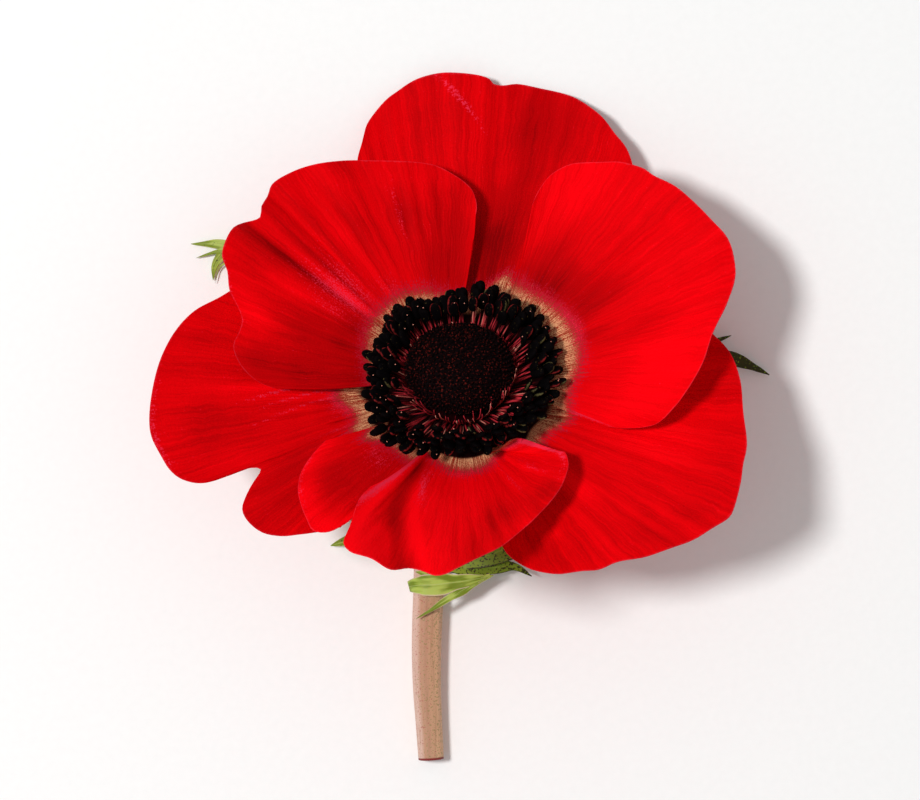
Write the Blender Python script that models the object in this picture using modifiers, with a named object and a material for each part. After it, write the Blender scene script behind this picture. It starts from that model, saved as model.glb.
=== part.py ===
"""Anemone flower: a cut bloom that lies on a table with its face turned up.

Units are metres, +Z is up, +X is to the right and +Y points away from the stem's cut end.
The tables below are in millimetres, from the bloom's centre, where the petals meet.
Run with: blender --background --python part.py
"""

import math
import random

import bmesh
import bpy
import numpy as np

MM = 0.001

# How the flower lies. The bloom leans back from the stem, so its far petal comes down to the table.
BLOOM_TILT = math.radians(26.0)
BLOOM_HEIGHT = 14.6
SIN_TILT = math.sin(BLOOM_TILT)
COS_TILT = math.cos(BLOOM_TILT)

# The outlines are given as an eye above the table sees them, at the height of the bloom's centre.
EYE_DISTANCE = 550.0
EYE_X = -0.3
EYE_Y = -1.5

# Petals: sheets that start at the receptacle's side and spread like shallow bowls. A vein bends at
# VEIN_MIDDLE of its way out, and the powers say how late waves, folds and curls rise along it.
PETAL_THICK = 0.6
PETAL_STEP = 2.3
PETAL_ROWS = 8
CLAW_RADIUS = 5.4
CLAW_HALF_ANGLE = 21.0
BEND_WIDTH = 5.0
VEIN_MIDDLE = 0.45
SIDE_POWER = 3
WAVE_POWER = 3
FOLD_POWER = 1.7
CURL_POWER = 4
LIFT_ROUNDS = 20

# Carpel head, along and across the bloom's own axis: a dome, a little flattened and off the middle,
# on a short stalk. Its carpels stand in two sets of spirals, each a number of arms and its winding.
DOME_RADIUS = 7.05
DOME_DEPTH = 0.91
DOME_SHIFT = (-0.35, 0.4)
DOME_WIDEST = 5.2
DOME_TOP = 8.4
DOME_STALK_RADIUS = 3.5
DOME_NECK = 1.6
DOME_FOOT = 0.25
HEAD_NECK_AT = 0.8
HEAD_NECK_POWER = 1.2
HEAD_FOOT_SPREAD = 0.3
CARPEL_RELIEF = 0.16
CARPEL_SPIRALS = [(13, 12.8), (8, -20.8)]
CARPEL_SWIRL_START = 0.35
CARPEL_FADE = 0.5

# Stamens, and the rim that bears them (radius, height). An anther's profile is its share of the
# length and of the radius. A filament bends where it is this share of the way out and of the way up.
RIM_PROFILE = [(4.4, 0.3), (5.4, 0.3), (6.0, 0.75), (5.7, 1.3), (4.4, 1.3)]
RIM_SIDES = 28
STAMEN_SEED = 11
ANGLE_SCATTER = 2.0
PLACE_SCATTER = 0.35
LEAN_SCATTER = 10.0
ANTHER_LENGTH = 2.7
ANTHER_RADIUS = 0.72
ANTHER_PROFILE = [(0.0, 0.4), (0.25, 0.9), (0.75, 1.0), (1.0, 0.35)]
FILAMENT_RADIUS = 0.24
FILAMENT_FOOT = (5.2, 0.8)
FILAMENT_FOOT_WIDER = 1.3
FILAMENT_BEND = (0.6, 0.4)

# Stem, and the receptacle that it swells to (height along the bloom's axis, radius).
STEM_RADIUS = 2.1
RECEPTACLE_RADIUS = 5.0
RECEPTACLE_PROFILE = [(-0.1, RECEPTACLE_RADIUS), (-2.1, RECEPTACLE_RADIUS), (-2.7, 4.3),
                      (-3.2, 3.0), (-3.9, 2.3), (-5.0, STEM_RADIUS)]
STEM_STEP = 2.2
STEM_BEVEL = 6

# Leafy collar. A lobe is widest at LANCE_WIDEST of its length, and starts and ends narrower.
LEAF_THICK = 0.6
LEAF_KEEL = 0.12
LEAF_ROWS = 7
LEAF_ROW_STEP = 4.0
LEAF_RIB_STEP = 0.5
LEAF_LOOK = 0.02
LANCE_WIDEST = 0.35
LANCE_FOOT = 0.45
LANCE_TIP = 0.09
LANCE_POWER = 0.75

# Points nearer than WELD metres become one; edges sharper than SMOOTH_ANGLE degrees stay sharp.
WELD = 1e-6
SMOOTH_ANGLE = 40.0

RED = (0.55, 0.0, 0.012, 1.0)
NEARLY_BLACK = (0.008, 0.006, 0.008, 1.0)
PINKISH_TAN = (0.5, 0.28, 0.19, 1.0)
LEAF_GREEN = (0.19, 0.26, 0.03, 1.0)

# Each petal: the direction of its foot, its bowl (height at the foot, slope, added slope further out
# and where that starts), the margin clockwise, the two side edges' control points, its radial folds
# (place along the margin, half width, height, and a shift towards the foot where a fold runs aslant),
# the curls of its margin (the same numbers) and its margin waves (height, number, start).
PETALS = {
    "petal_top": {
        "foot": 84.0,
        "bowl": (-1.6, 0.2, 0.0, 20.0),
        "margin": [
            (-13.5, 27.4), (-14.1, 30.6), (-13.5, 33.1), (-12.8, 35.6), (-11.8, 37.1), (-10.0, 39.1),
            (-8.6, 40.1), (-7.0, 41.2), (-5.5, 41.9), (-2.9, 42.5), (-0.3, 42.5), (2.6, 42.1),
            (3.6, 41.7), (4.2, 41.0), (5.5, 40.8), (7.3, 41.0), (10.5, 40.4), (14.3, 39.5),
            (15.8, 38.8), (18.6, 36.8), (20.5, 34.4), (22.0, 32.5), (22.8, 30.6), (23.1, 27.4)],
        "sides": ((-11.5, 14.0), (19.0, 14.0)),
        "folds": [(0.42, 0.22, 1.8), (0.44, 0.03, 0.4), (0.56, 0.04, -0.6), (0.80, 0.05, 0.5)],
        "curls": [],
        "waves": (0.5, 2.5, 0.1),
    },
    "petal_upper_left": {
        "foot": 134.0,
        "bowl": (-0.55, 0.42, 0.0, 20.0),
        "margin": [
            (-25.4, 0.1), (-27.8, 1.2), (-29.8, 3.2), (-30.8, 5.8), (-30.0, 7.7), (-29.6, 9.3),
            (-30.2, 11.1), (-31.3, 13.3), (-31.6, 15.8), (-32.3, 17.9), (-32.0, 19.5), (-30.8, 21.7),
            (-29.5, 22.3), (-27.2, 23.1), (-27.0, 24.6), (-26.2, 25.9), (-25.6, 27.5), (-23.1, 29.1),
            (-19.9, 30.2), (-15.9, 30.7), (-11.0, 30.7), (-6.3, 30.5), (-3.5, 30.0), (-1.3, 28.9),
            (0.3, 27.8), (1.4, 26.6), (1.9, 24.9), (1.7, 22.7)],
        "sides": ((-14.5, -0.6), (1.0, 13.0)),
        "folds": [(0.0, 0.12, -3.2), (0.352, 0.034, 1.4), (0.43, 0.03, -0.8), (0.49, 0.022, 0.35),
                  (0.54, 0.022, -0.35), (0.62, 0.035, 0.5), (0.70, 0.03, -0.4), (0.78, 0.035, 0.4),
                  (0.93, 0.10, -1.8)],
        "curls": [(0.19, 0.07, -1.3)],
        "waves": (0.4, 3.0, 0.3),
    },
    "petal_upper_right": {
        "foot": 32.0,
        "bowl": (-0.55, 0.42, 0.0, 20.0),
        "margin": [
            (9.2, 23.4), (9.6, 25.2), (10.5, 27.0), (11.8, 28.7), (13.5, 29.8), (14.9, 30.3),
            (18.6, 30.5), (21.4, 30.5), (24.5, 29.6), (25.6, 28.8), (28.6, 27.3), (30.8, 25.5),
            (33.4, 22.9), (35.8, 20.1), (36.7, 16.7), (36.7, 14.9), (35.7, 11.7), (33.7, 7.5),
            (32.4, 3.6), (30.5, 0.2), (28.6, -2.4), (26.1, -4.7), (22.5, -5.3), (19.6, -5.1)],
        "sides": ((7.6, 13.5), (11.5, -2.0)),
        "folds": [(0.0, 0.16, 1.6), (0.38, 0.04, -0.4), (0.44, 0.03, 0.4), (0.52, 0.03, -0.4),
                  (0.70, 0.10, 0.8), (0.95, 0.10, -3.0)],
        "curls": [],
        "waves": (0.4, 2.0, 0.6),
    },
    "petal_left": {
        "foot": 184.0,
        "bowl": (-1.75, 0.19, 0.0, 20.0),
        "margin": [
            (-16.3, -18.6), (-19.1, -19.2), (-22.2, -19.6), (-24.3, -19.8), (-26.9, -19.3),
            (-28.9, -17.7), (-29.6, -16.2), (-28.9, -14.0), (-28.1, -12.6), (-27.1, -10.8),
            (-28.4, -10.6), (-31.0, -11.5), (-35.2, -12.7), (-38.0, -12.0), (-39.4, -10.8),
            (-40.4, -9.2), (-41.8, -6.4), (-42.1, -4.1), (-41.6, 0.3), (-40.4, 4.5), (-38.3, 8.2),
            (-36.0, 10.5), (-32.5, 12.4), (-30.1, 13.9)],
        "sides": ((-10.5, -9.5), (-16.0, 7.5)),
        "folds": [(0.17, 0.09, -0.6), (0.55, 0.07, 0.7), (0.66, 0.03, 0.3), (0.85, 0.18, 2.2)],
        "curls": [],
        "waves": (0.5, 2.0, 0.0),
    },
    "petal_lower_left": {
        "foot": 229.0,
        "bowl": (-1.1, 0.33, 0.0, 20.0),
        "margin": [
            (-11.0, -15.6), (-15.0, -17.6), (-16.3, -18.5), (-18.4, -19.3), (-20.1, -19.0),
            (-20.9, -17.6), (-21.9, -14.9), (-22.1, -13.2), (-21.6, -11.1), (-20.1, -8.8),
            (-18.4, -7.0)],
        "sides": ((-5.5, -10.0), (-11.0, -5.0)),
        "folds": [(0.62, 0.16, -0.5)],
        "curls": [(0.75, 0.3, -1.2)],
        "waves": (0.3, 1.5, 0.2),
    },
    "petal_bottom": {
        "foot": 276.0,
        "bowl": (-0.45, 0.2, 0.55, 13.0),
        "margin": [
            (6.0, -7.1), (7.4, -6.6), (9.9, -7.3), (12.9, -8.3), (13.8, -8.5), (14.3, -10.1),
            (13.9, -11.8), (13.0, -13.7), (10.2, -17.0), (7.3, -19.6), (5.4, -21.1), (2.6, -22.5),
            (-0.5, -24.0), (-2.3, -24.9), (-3.7, -25.1), (-5.6, -24.4), (-7.2, -24.1),
            (-9.6, -24.3), (-12.2, -22.8), (-15.2, -21.8), (-16.0, -20.7), (-15.2, -18.7),
            (-14.6, -16.9), (-13.9, -14.9), (-12.4, -13.2)],
        "sides": ((2.0, -11.2), (-6.6, -12.6)),
        "folds": [(0.0, 0.14, 1.7), (0.31, 0.16, -1.6), (0.54, 0.08, 0.6, 0.27),
                  (0.655, 0.055, -1.3, 0.27), (0.79, 0.06, 1.5, 0.27)],
        "curls": [],
        "waves": (0.3, 3.0, 0.5),
    },
    "petal_lower_right": {
        "foot": 327.0,
        "bowl": (-1.6, 0.2, 0.0, 20.0),
        "margin": [
            (32.0, 9.0), (33.7, 7.4), (36.0, 4.9), (37.4, 1.2), (37.8, -3.0), (38.3, -7.6),
            (37.8, -10.1), (37.5, -12.4), (36.5, -16.2), (35.9, -17.3), (33.7, -18.7),
            (31.1, -20.3), (28.1, -21.4), (24.6, -22.6), (20.8, -23.3), (18.4, -24.3),
            (16.1, -24.5), (12.9, -24.9), (10.5, -24.6), (8.2, -23.8), (6.0, -22.1), (4.7, -19.9)],
        "sides": ((16.0, 5.0), (3.2, -12.5)),
        "folds": [(0.35, 0.09, -0.6), (0.60, 0.08, 0.8), (0.82, 0.07, -0.5)],
        "curls": [],
        "waves": (0.5, 2.5, 0.4),
    },
}

# Stamens: rows from the dome outwards (count, radius, height of the anthers above the bloom's plane,
# lean outwards in degrees). The ring is no true circle: its bends are given by angle, half angle and
# how far the outermost row stands out or in there, and they fade to nothing at BEND_START.
STAMEN_ROWS = [(22, 9.5, 6.1, 25.0), (30, 11.1, 5.9, 45.0), (36, 12.5, 4.9, 62.0)]
RING_BENDS = [(105, 17, -1.8), (78, 12, -0.6), (62, 8, -0.4), (151, 8, -1.2), (182, 14, -0.6),
              (224, 14, 1.5), (268, 20, -1.7), (303, 18, -1.8), (321, 8, -1.0), (340, 8, -0.7)]
BEND_START = 7.6
BEND_SPAN = 5.0

# The stem's centre line: seen place and height of the centre above the table, then radius.
STEM_PATH = [
    (-1.0, -6.3, 7.2, 2.1), (-2.2, -10.6, 4.2, 2.1), (-3.4, -16.0, 2.5, 2.1),
    (-4.3, -22.0, 2.1, 2.1), (-4.6, -28.5, 2.1, 2.1), (-4.8, -34.5, 2.05, 2.05),
    (-4.75, -40.0, 1.95, 1.95), (-4.5, -44.6, 1.84, 1.84), (-4.17, -49.8, 1.76, 1.76)]

# Leaf lobes: half width, then the rib's points (seen place, height above the table), foot to tip.
LEAF_LOBES = {
    "bract_left": [
        (2.4, [(-7.2, -22.6, 2.4), (-11.6, -18.8, 2.9), (-19.2, -9.8, 3.8), (-25.4, 1.0, 3.6),
               (-28.6, 10.0, 2.6), (-29.4, 16.0, 1.4), (-28.0, 20.6, 0.5)]),
        (0.95, [(-28.6, 16.8, 1.9), (-31.6, 19.2, 1.25), (-36.5, 19.5, 0.4)]),
        (0.4, [(-29.2, 15.8, 1.7), (-32.6, 18.4, 1.2), (-35.8, 17.6, 0.6)]),
        (0.85, [(-29.2, 17.2, 1.4), (-32.2, 17.7, 0.9), (-33.6, 14.6, 0.42)]),
        (1.5, [(-9.8, -18.6, 2.7), (-13.6, -19.8, 2.2), (-17.7, -21.1, 1.2)]),
        (1.3, [(-16.2, -14.2, 3.5), (-22.6, -13.4, 2.8), (-27.6, -9.4, 1.2)]),
        (1.2, [(-22.0, -5.8, 3.7), (-29.0, -4.0, 2.6), (-33.4, 2.0, 1.0)]),
        (1.0, [(-26.8, 4.0, 3.3), (-31.4, 6.8, 2.2), (-33.4, 9.8, 0.9)]),
        (1.3, [(-18.8, -10.4, 3.7), (-19.2, -3.4, 2.8), (-21.6, 4.0, 1.2)]),
        (1.2, [(-24.8, 0.2, 3.6), (-23.2, 7.6, 2.6), (-24.2, 14.0, 1.0)]),
    ],
    "bract_right": [
        (2.6, [(-1.7, -23.2, 2.9), (4.0, -22.2, 3.8), (12.0, -17.8, 4.3), (22.0, -8.0, 4.1),
               (29.0, 1.0, 3.0), (33.6, 4.6, 1.8), (41.3, 1.9, 0.4)]),
        (0.85, [(29.5, 1.6, 2.8), (33.2, 5.9, 1.8), (36.2, 7.2, 0.9)]),
        (0.85, [(33.2, 5.0, 1.9), (37.2, 4.0, 1.2), (41.3, 1.9, 0.4)]),
        (1.4, [(-1.2, -23.6, 3.3), (0.9, -23.9, 3.2), (4.2, -24.0, 3.1), (7.0, -23.9, 2.9),
               (9.35, -25.2, 2.4)]),
        (1.3, [(9.0, -20.0, 4.1), (16.0, -18.8, 3.4), (21.6, -15.6, 1.6)]),
        (1.3, [(17.0, -13.2, 4.2), (25.0, -11.6, 3.2), (31.0, -7.0, 1.4)]),
        (1.2, [(13.0, -17.0, 4.2), (15.2, -9.0, 3.3), (19.6, -2.6, 1.6)]),
        (1.1, [(23.6, -6.2, 3.9), (25.0, 1.6, 2.8), (28.0, 8.0, 1.2)]),
    ],
    "bract_front": [
        (1.65, [(-7.2, -26.6, 3.0), (-6.6, -26.5, 4.1), (-5.6, -26.4, 4.9), (-4.0, -26.35, 5.2),
                (-2.4, -26.2, 5.2), (-0.9, -26.0, 5.2), (1.1, -25.7, 5.2), (3.0, -25.35, 5.2),
                (4.2, -25.1, 5.2)]),
        (0.5, [(-4.4, -25.4, 5.05), (-5.4, -24.8, 4.85), (-6.3, -24.6, 4.5)]),
        (0.68, [(3.77, -25.1, 5.2), (2.15, -25.8, 5.2), (0.0, -27.1, 5.1), (-2.29, -28.45, 5.1),
                (-4.3, -29.8, 5.1), (-6.19, -30.9, 5.1)]),
    ],
}


def clear_scene():
    for obj in list(bpy.data.objects):
        bpy.data.objects.remove(obj)


def new_collection(name, helper=False):
    collection = bpy.data.collections.new(name)
    bpy.context.scene.collection.children.link(collection)
    collection.hide_render = helper
    return collection


def new_material(name, color, roughness):
    material = bpy.data.materials.new(name)
    material.use_nodes = True
    shader = material.node_tree.nodes["Principled BSDF"]
    shader.inputs["Base Color"].default_value = color
    shader.inputs["Roughness"].default_value = roughness
    material.diffuse_color = color
    return material


def bloom_to_world(x, y, z):
    """A point of the bloom's own frame (its axis is z), turned as the bloom leans."""
    return x, y * COS_TILT + z * SIN_TILT, z * COS_TILT - y * SIN_TILT


def seen_to_world(x, y, height):
    """The place at this height above the bloom's centre that the eye sees at x, y."""
    nearer = 1.0 - height / EYE_DISTANCE
    return EYE_X + (x - EYE_X) * nearer, EYE_Y + (y - EYE_Y) * nearer


def world_to_seen(x, y, height):
    nearer = 1.0 - height / EYE_DISTANCE
    return EYE_X + (x - EYE_X) / nearer, EYE_Y + (y - EYE_Y) / nearer


def spline(points, step):
    """Points at most about step apart on a smooth curve through the given ones."""
    rows = [np.array(point, dtype=float) for point in points]
    rows = [2 * rows[0] - rows[1]] + rows + [2 * rows[-1] - rows[-2]]
    result = []
    for before, start, end, after in zip(rows, rows[1:], rows[2:], rows[3:]):
        length = np.linalg.norm(end - start)
        knots = [0.0]
        for first, second in ((before, start), (start, end), (end, after)):
            knots.append(knots[-1] + max(np.linalg.norm(second - first), 1e-6) ** 0.5)
        parts = max(1, round(length / step))
        for index in range(parts):
            u = knots[1] + (knots[2] - knots[1]) * index / parts
            a1 = (before * (knots[1] - u) + start * (u - knots[0])) / (knots[1] - knots[0])
            a2 = (start * (knots[2] - u) + end * (u - knots[1])) / (knots[2] - knots[1])
            a3 = (end * (knots[3] - u) + after * (u - knots[2])) / (knots[3] - knots[2])
            b1 = (a1 * (knots[2] - u) + a2 * (u - knots[0])) / (knots[2] - knots[0])
            b2 = (a2 * (knots[3] - u) + a3 * (u - knots[1])) / (knots[3] - knots[1])
            result.append((b1 * (knots[2] - u) + b2 * (u - knots[1])) / (knots[2] - knots[1]))
    result.append(rows[-2])
    return result


def bowl_height(radius, bowl):
    """Height of a petal's bowl above the bloom's plane at this distance from its axis."""
    foot_height, slope, added_slope, bend_radius = bowl

    def bend(r):
        return 0.5 * (r - bend_radius + math.hypot(r - bend_radius, BEND_WIDTH))

    return (foot_height + slope * (radius - CLAW_RADIUS)
            + added_slope * (bend(radius) - bend(CLAW_RADIUS)))


def lifted(seen_x, seen_y, bowl, relief):
    """The world point of a petal that the eye sees at this place, with this relief on its bowl."""
    height = 0.0
    for _ in range(LIFT_ROUNDS):
        x, y = seen_to_world(seen_x, seen_y, height)
        rise = (height + y * math.tan(BLOOM_TILT)) * COS_TILT
        plane_y = (y - rise * SIN_TILT) / COS_TILT
        rise = bowl_height(math.hypot(x, plane_y), bowl) + relief
        height = rise / COS_TILT - y * math.tan(BLOOM_TILT)
    x, y = seen_to_world(seen_x, seen_y, height)
    return x, y, height


def stripe(place, t, centre, spread, shift=0.0):
    """A soft stripe along the veins, 1 in its middle, that may run aslant."""
    return math.exp(-((place - centre - shift * (1.0 - t)) / spread) ** 2)


def petal_relief(petal, place, t):
    """Height of waves, folds and curls above the bowl, from the foot (t is 0) to the margin."""
    height, number, start = petal["waves"]
    relief = height * math.sin(2 * math.pi * (number * place + start)) * t ** WAVE_POWER
    for kind, power in (("folds", FOLD_POWER), ("curls", CURL_POWER)):
        for centre, spread, amount, *shift in petal[kind]:
            relief += amount * stripe(place, t, centre, spread, *shift) * t ** power
    return relief


def petal_grid(petal):
    """World points of a petal's middle sheet: a row of points for each vein, foot to margin."""
    margin = spline(petal["margin"], PETAL_STEP)
    walked = [0.0]
    for first, second in zip(margin, margin[1:]):
        walked.append(walked[-1] + np.linalg.norm(second - first))
    places = [distance / walked[-1] for distance in walked]
    feet = []
    for place in places:
        angle = math.radians(petal["foot"] + CLAW_HALF_ANGLE * (1.0 - 2.0 * place))
        x = CLAW_RADIUS * math.cos(angle)
        y = CLAW_RADIUS * math.sin(angle)
        feet.append(np.array(world_to_seen(*bloom_to_world(x, y, petal["bowl"][0]))))
    middles = [foot + VEIN_MIDDLE * (end - foot) for foot, end in zip(feet, margin)]
    first_side = np.array(petal["sides"][0]) - middles[0]
    last_side = np.array(petal["sides"][1]) - middles[-1]
    grid = []
    for place, foot, middle, end in zip(places, feet, middles, margin):
        middle = middle + first_side * (1.0 - place) ** SIDE_POWER + last_side * place ** SIDE_POWER
        vein = []
        for row in range(PETAL_ROWS + 1):
            t = row / PETAL_ROWS
            seen = (1 - t) ** 2 * foot + 2 * t * (1 - t) * middle + t ** 2 * end
            vein.append(lifted(seen[0], seen[1], petal["bowl"], petal_relief(petal, place, t)))
        grid.append(vein)
    return grid


def mesh_from_grid(name, grid):
    """An open sheet over a grid of points in millimetres, split alike everywhere."""
    columns = len(grid)
    rows = len(grid[0])
    sheet = bmesh.new()
    bmesh.ops.create_grid(sheet, x_segments=columns - 1, y_segments=rows - 1, size=0.5)
    for vert in sheet.verts:
        column = round((vert.co.x + 0.5) * (columns - 1))
        row = round((vert.co.y + 0.5) * (rows - 1))
        vert.co = [value * MM for value in grid[column][row]]
    mesh = bpy.data.meshes.new(name)
    sheet.to_mesh(mesh)
    sheet.free()
    return mesh


def add_sheet(name, grid, thickness, collection, parent):
    obj = bpy.data.objects.new(name, mesh_from_grid(name, grid))
    collection.objects.link(obj)
    obj.parent = parent
    split = obj.modifiers.new("Split", "TRIANGULATE")
    split.quad_method = "FIXED"
    thicken = obj.modifiers.new("Thicken", "SOLIDIFY")
    thicken.thickness = thickness * MM
    thicken.offset = 0.0
    return obj


def bake(obj):
    """Replaces an object's mesh or curve by what its modifiers make of it."""
    depsgraph = bpy.context.evaluated_depsgraph_get()
    mesh = bpy.data.meshes.new_from_object(obj.evaluated_get(depsgraph))
    solid = bmesh.new()
    solid.from_mesh(mesh)
    bmesh.ops.remove_doubles(solid, verts=solid.verts, dist=WELD)
    solid.to_mesh(mesh)
    solid.free()
    baked = bpy.data.objects.new(obj.name, mesh)
    baked.matrix_world = obj.matrix_world
    baked.parent = obj.parent
    for collection in list(obj.users_collection):
        collection.objects.link(baked)
    name = obj.name
    bpy.data.objects.remove(obj)
    baked.name = name
    return baked


def join_all(base, helpers):
    """One Boolean union of an object with all the objects of a collection, which then go."""
    union = base.modifiers.new("Join", "BOOLEAN")
    union.operation = "UNION"
    union.operand_type = "COLLECTION"
    union.collection = helpers
    union.solver = "MANIFOLD"
    joined = bake(base)
    for obj in list(helpers.objects):
        bpy.data.objects.remove(obj)
    return joined


def add_tube(name, points, radii, bevel, collection, parent):
    """A tube with filled ends through points in millimetres, as a curve object."""
    curve = bpy.data.curves.new(name, "CURVE")
    curve.dimensions = "3D"
    curve.bevel_depth = MM
    curve.bevel_resolution = bevel
    curve.use_fill_caps = True
    line = curve.splines.new("POLY")
    line.points.add(len(points) - 1)
    for knot, point, radius in zip(line.points, points, radii):
        knot.co = [value * MM for value in point] + [1.0]
        knot.radius = radius
    obj = bpy.data.objects.new(name, curve)
    collection.objects.link(obj)
    obj.parent = parent
    return obj


def finish(obj, material):
    obj.data.materials.clear()
    obj.data.materials.append(material)
    if obj.type == "MESH":
        obj.data.shade_smooth()
        obj.data.set_sharp_from_angle(angle=math.radians(SMOOTH_ANGLE))


def make_petals(parts, root, material):
    for name, petal in PETALS.items():
        finish(add_sheet(name, petal_grid(petal), PETAL_THICK, parts, root), material)


def make_stem(parts, root, material):
    points = []
    radii = []
    for height, radius in RECEPTACLE_PROFILE:
        points.append(bloom_to_world(0.0, 0.0, height))
        radii.append(radius)
    path = [(*points[-1], STEM_RADIUS)]
    for seen_x, seen_y, height, radius in STEM_PATH:
        above_centre = height - BLOOM_HEIGHT
        path.append((*seen_to_world(seen_x, seen_y, above_centre), above_centre, radius))
    for x, y, z, radius in spline(path, STEM_STEP)[1:]:
        points.append((x, y, z))
        radii.append(radius)
    stem = bake(add_tube("stem", points, radii, STEM_BEVEL, parts, root))
    finish(stem, material)


def carpel_bump(x, y, z):
    """Carpels as a net of small bumps, in crossing spirals like the seeds of a daisy."""
    if z <= 0.0:
        return 0.0
    turn = math.atan2(y, x)
    polar = math.acos(min(1.0, z))
    swirl = math.log(CARPEL_SWIRL_START + polar)
    bump = min(1.0, polar / CARPEL_FADE)
    for arms, winding in CARPEL_SPIRALS:
        bump *= math.cos(arms * turn + winding * swirl)
    return bump


def head_profile(z):
    """Radius and height of the carpel head where a unit ball has this z: a dome on a short stalk."""
    if z >= 0.0:
        radius = DOME_RADIUS * math.sqrt(max(0.0, 1.0 - z * z))
        return radius, DOME_WIDEST + (DOME_TOP - DOME_WIDEST) * z
    below = -z / HEAD_NECK_AT
    if below <= 1.0:
        narrowing = (1.0 - below ** 2) ** HEAD_NECK_POWER
        radius = DOME_STALK_RADIUS + (DOME_RADIUS - DOME_STALK_RADIUS) * narrowing
        return radius, DOME_WIDEST + (DOME_NECK - DOME_WIDEST) * below
    share = (-z - HEAD_NECK_AT) / (1.0 - HEAD_NECK_AT)
    radius = DOME_STALK_RADIUS * min(1.0, (1.0 - share) / HEAD_FOOT_SPREAD)
    drop = share / (1.0 - HEAD_FOOT_SPREAD)
    return radius, max(DOME_FOOT, DOME_NECK + (DOME_FOOT - DOME_NECK) * drop)


def make_carpel_head(parts, root, material):
    head = bmesh.new()
    bmesh.ops.create_uvsphere(head, u_segments=36, v_segments=18, radius=1.0)
    for vert in head.verts:
        x, y, z = vert.co
        radius, height = head_profile(z)
        bump = CARPEL_RELIEF * carpel_bump(x, y, z)
        turn = math.atan2(y, x)
        radius += bump * (1.0 - abs(z))
        place = bloom_to_world(radius * math.cos(turn) + DOME_SHIFT[0],
                               DOME_DEPTH * radius * math.sin(turn) + DOME_SHIFT[1],
                               height + bump * z)
        vert.co = [value * MM for value in place]
    mesh = bpy.data.meshes.new("carpel_head")
    head.to_mesh(mesh)
    head.free()
    obj = bpy.data.objects.new("carpel_head", mesh)
    parts.objects.link(obj)
    obj.parent = root
    finish(obj, material)


def stamen_line(angle, row_radius, anther_height, lean):
    """Points and radii of one stamen: a thin filament that ends in an oval anther."""
    reach = row_radius
    for bend_angle, half_angle, depth in RING_BENDS:
        away = abs((angle - bend_angle + 180.0) % 360.0 - 180.0) / half_angle
        reach += depth * math.exp(-away ** 2) * (row_radius - BEND_START) / BEND_SPAN
    turn = math.radians(angle)
    lean = math.radians(lean)
    half = 0.5 * ANTHER_LENGTH
    foot = FILAMENT_FOOT
    bottom = (reach - half * math.sin(lean), anther_height - half * math.cos(lean))
    bend = [foot[axis] + FILAMENT_BEND[axis] * (bottom[axis] - foot[axis]) for axis in range(2)]
    steps = [(*foot, FILAMENT_RADIUS * FILAMENT_FOOT_WIDER), (*bend, FILAMENT_RADIUS)]
    for share, radius in ANTHER_PROFILE:
        along = ANTHER_LENGTH * share
        steps.append((bottom[0] + along * math.sin(lean), bottom[1] + along * math.cos(lean),
                      ANTHER_RADIUS * radius))
    points = []
    for radius, height, _ in steps:
        points.append(bloom_to_world(radius * math.cos(turn), radius * math.sin(turn), height))
    return points, [step[2] for step in steps]


def make_rim(parts, root):
    """The narrow rim that bears the stamens, a closed ring round the stalk of the carpel head."""
    ring = bmesh.new()
    loops = []
    for radius, height in RIM_PROFILE:
        loop = []
        for side in range(RIM_SIDES):
            turn = 2 * math.pi * side / RIM_SIDES
            place = bloom_to_world(radius * math.cos(turn), radius * math.sin(turn), height)
            loop.append(ring.verts.new([value * MM for value in place]))
        loops.append(loop)
    for first, second in zip(loops, loops[1:] + loops[:1]):
        for side in range(RIM_SIDES):
            after = (side + 1) % RIM_SIDES
            ring.faces.new((first[side], first[after], second[after], second[side]))
    mesh = bpy.data.meshes.new("stamens")
    ring.to_mesh(mesh)
    ring.free()
    obj = bpy.data.objects.new("stamens", mesh)
    parts.objects.link(obj)
    obj.parent = root
    return obj


def make_stamens(parts, root, material):
    helpers = new_collection("stamen helpers", helper=True)
    chance = random.Random(STAMEN_SEED)

    def scattered(value, scatter):
        return value + chance.uniform(-scatter, scatter)

    for row, (count, radius, height, lean) in enumerate(STAMEN_ROWS):
        for index in range(count):
            angle = scattered(360.0 * (index + 0.5 * row) / count, ANGLE_SCATTER)
            points, radii = stamen_line(angle, scattered(radius, PLACE_SCATTER),
                                        scattered(height, PLACE_SCATTER),
                                        scattered(lean, LEAN_SCATTER))
            bake(add_tube("stamen", points, radii, 0, helpers, root))
    finish(join_all(make_rim(parts, root), helpers), material)
    bpy.data.collections.remove(helpers)


def lance_width(share):
    """Width of a leaf lobe at this share of its length, against its widest place."""
    rising = LANCE_FOOT + (1.0 - LANCE_FOOT) * min(1.0, share / LANCE_WIDEST)
    falling = 1.0 - max(0.0, share - LANCE_WIDEST) / (1.0 - LANCE_WIDEST)
    return max(LANCE_TIP, rising * falling ** LANCE_POWER)


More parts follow.
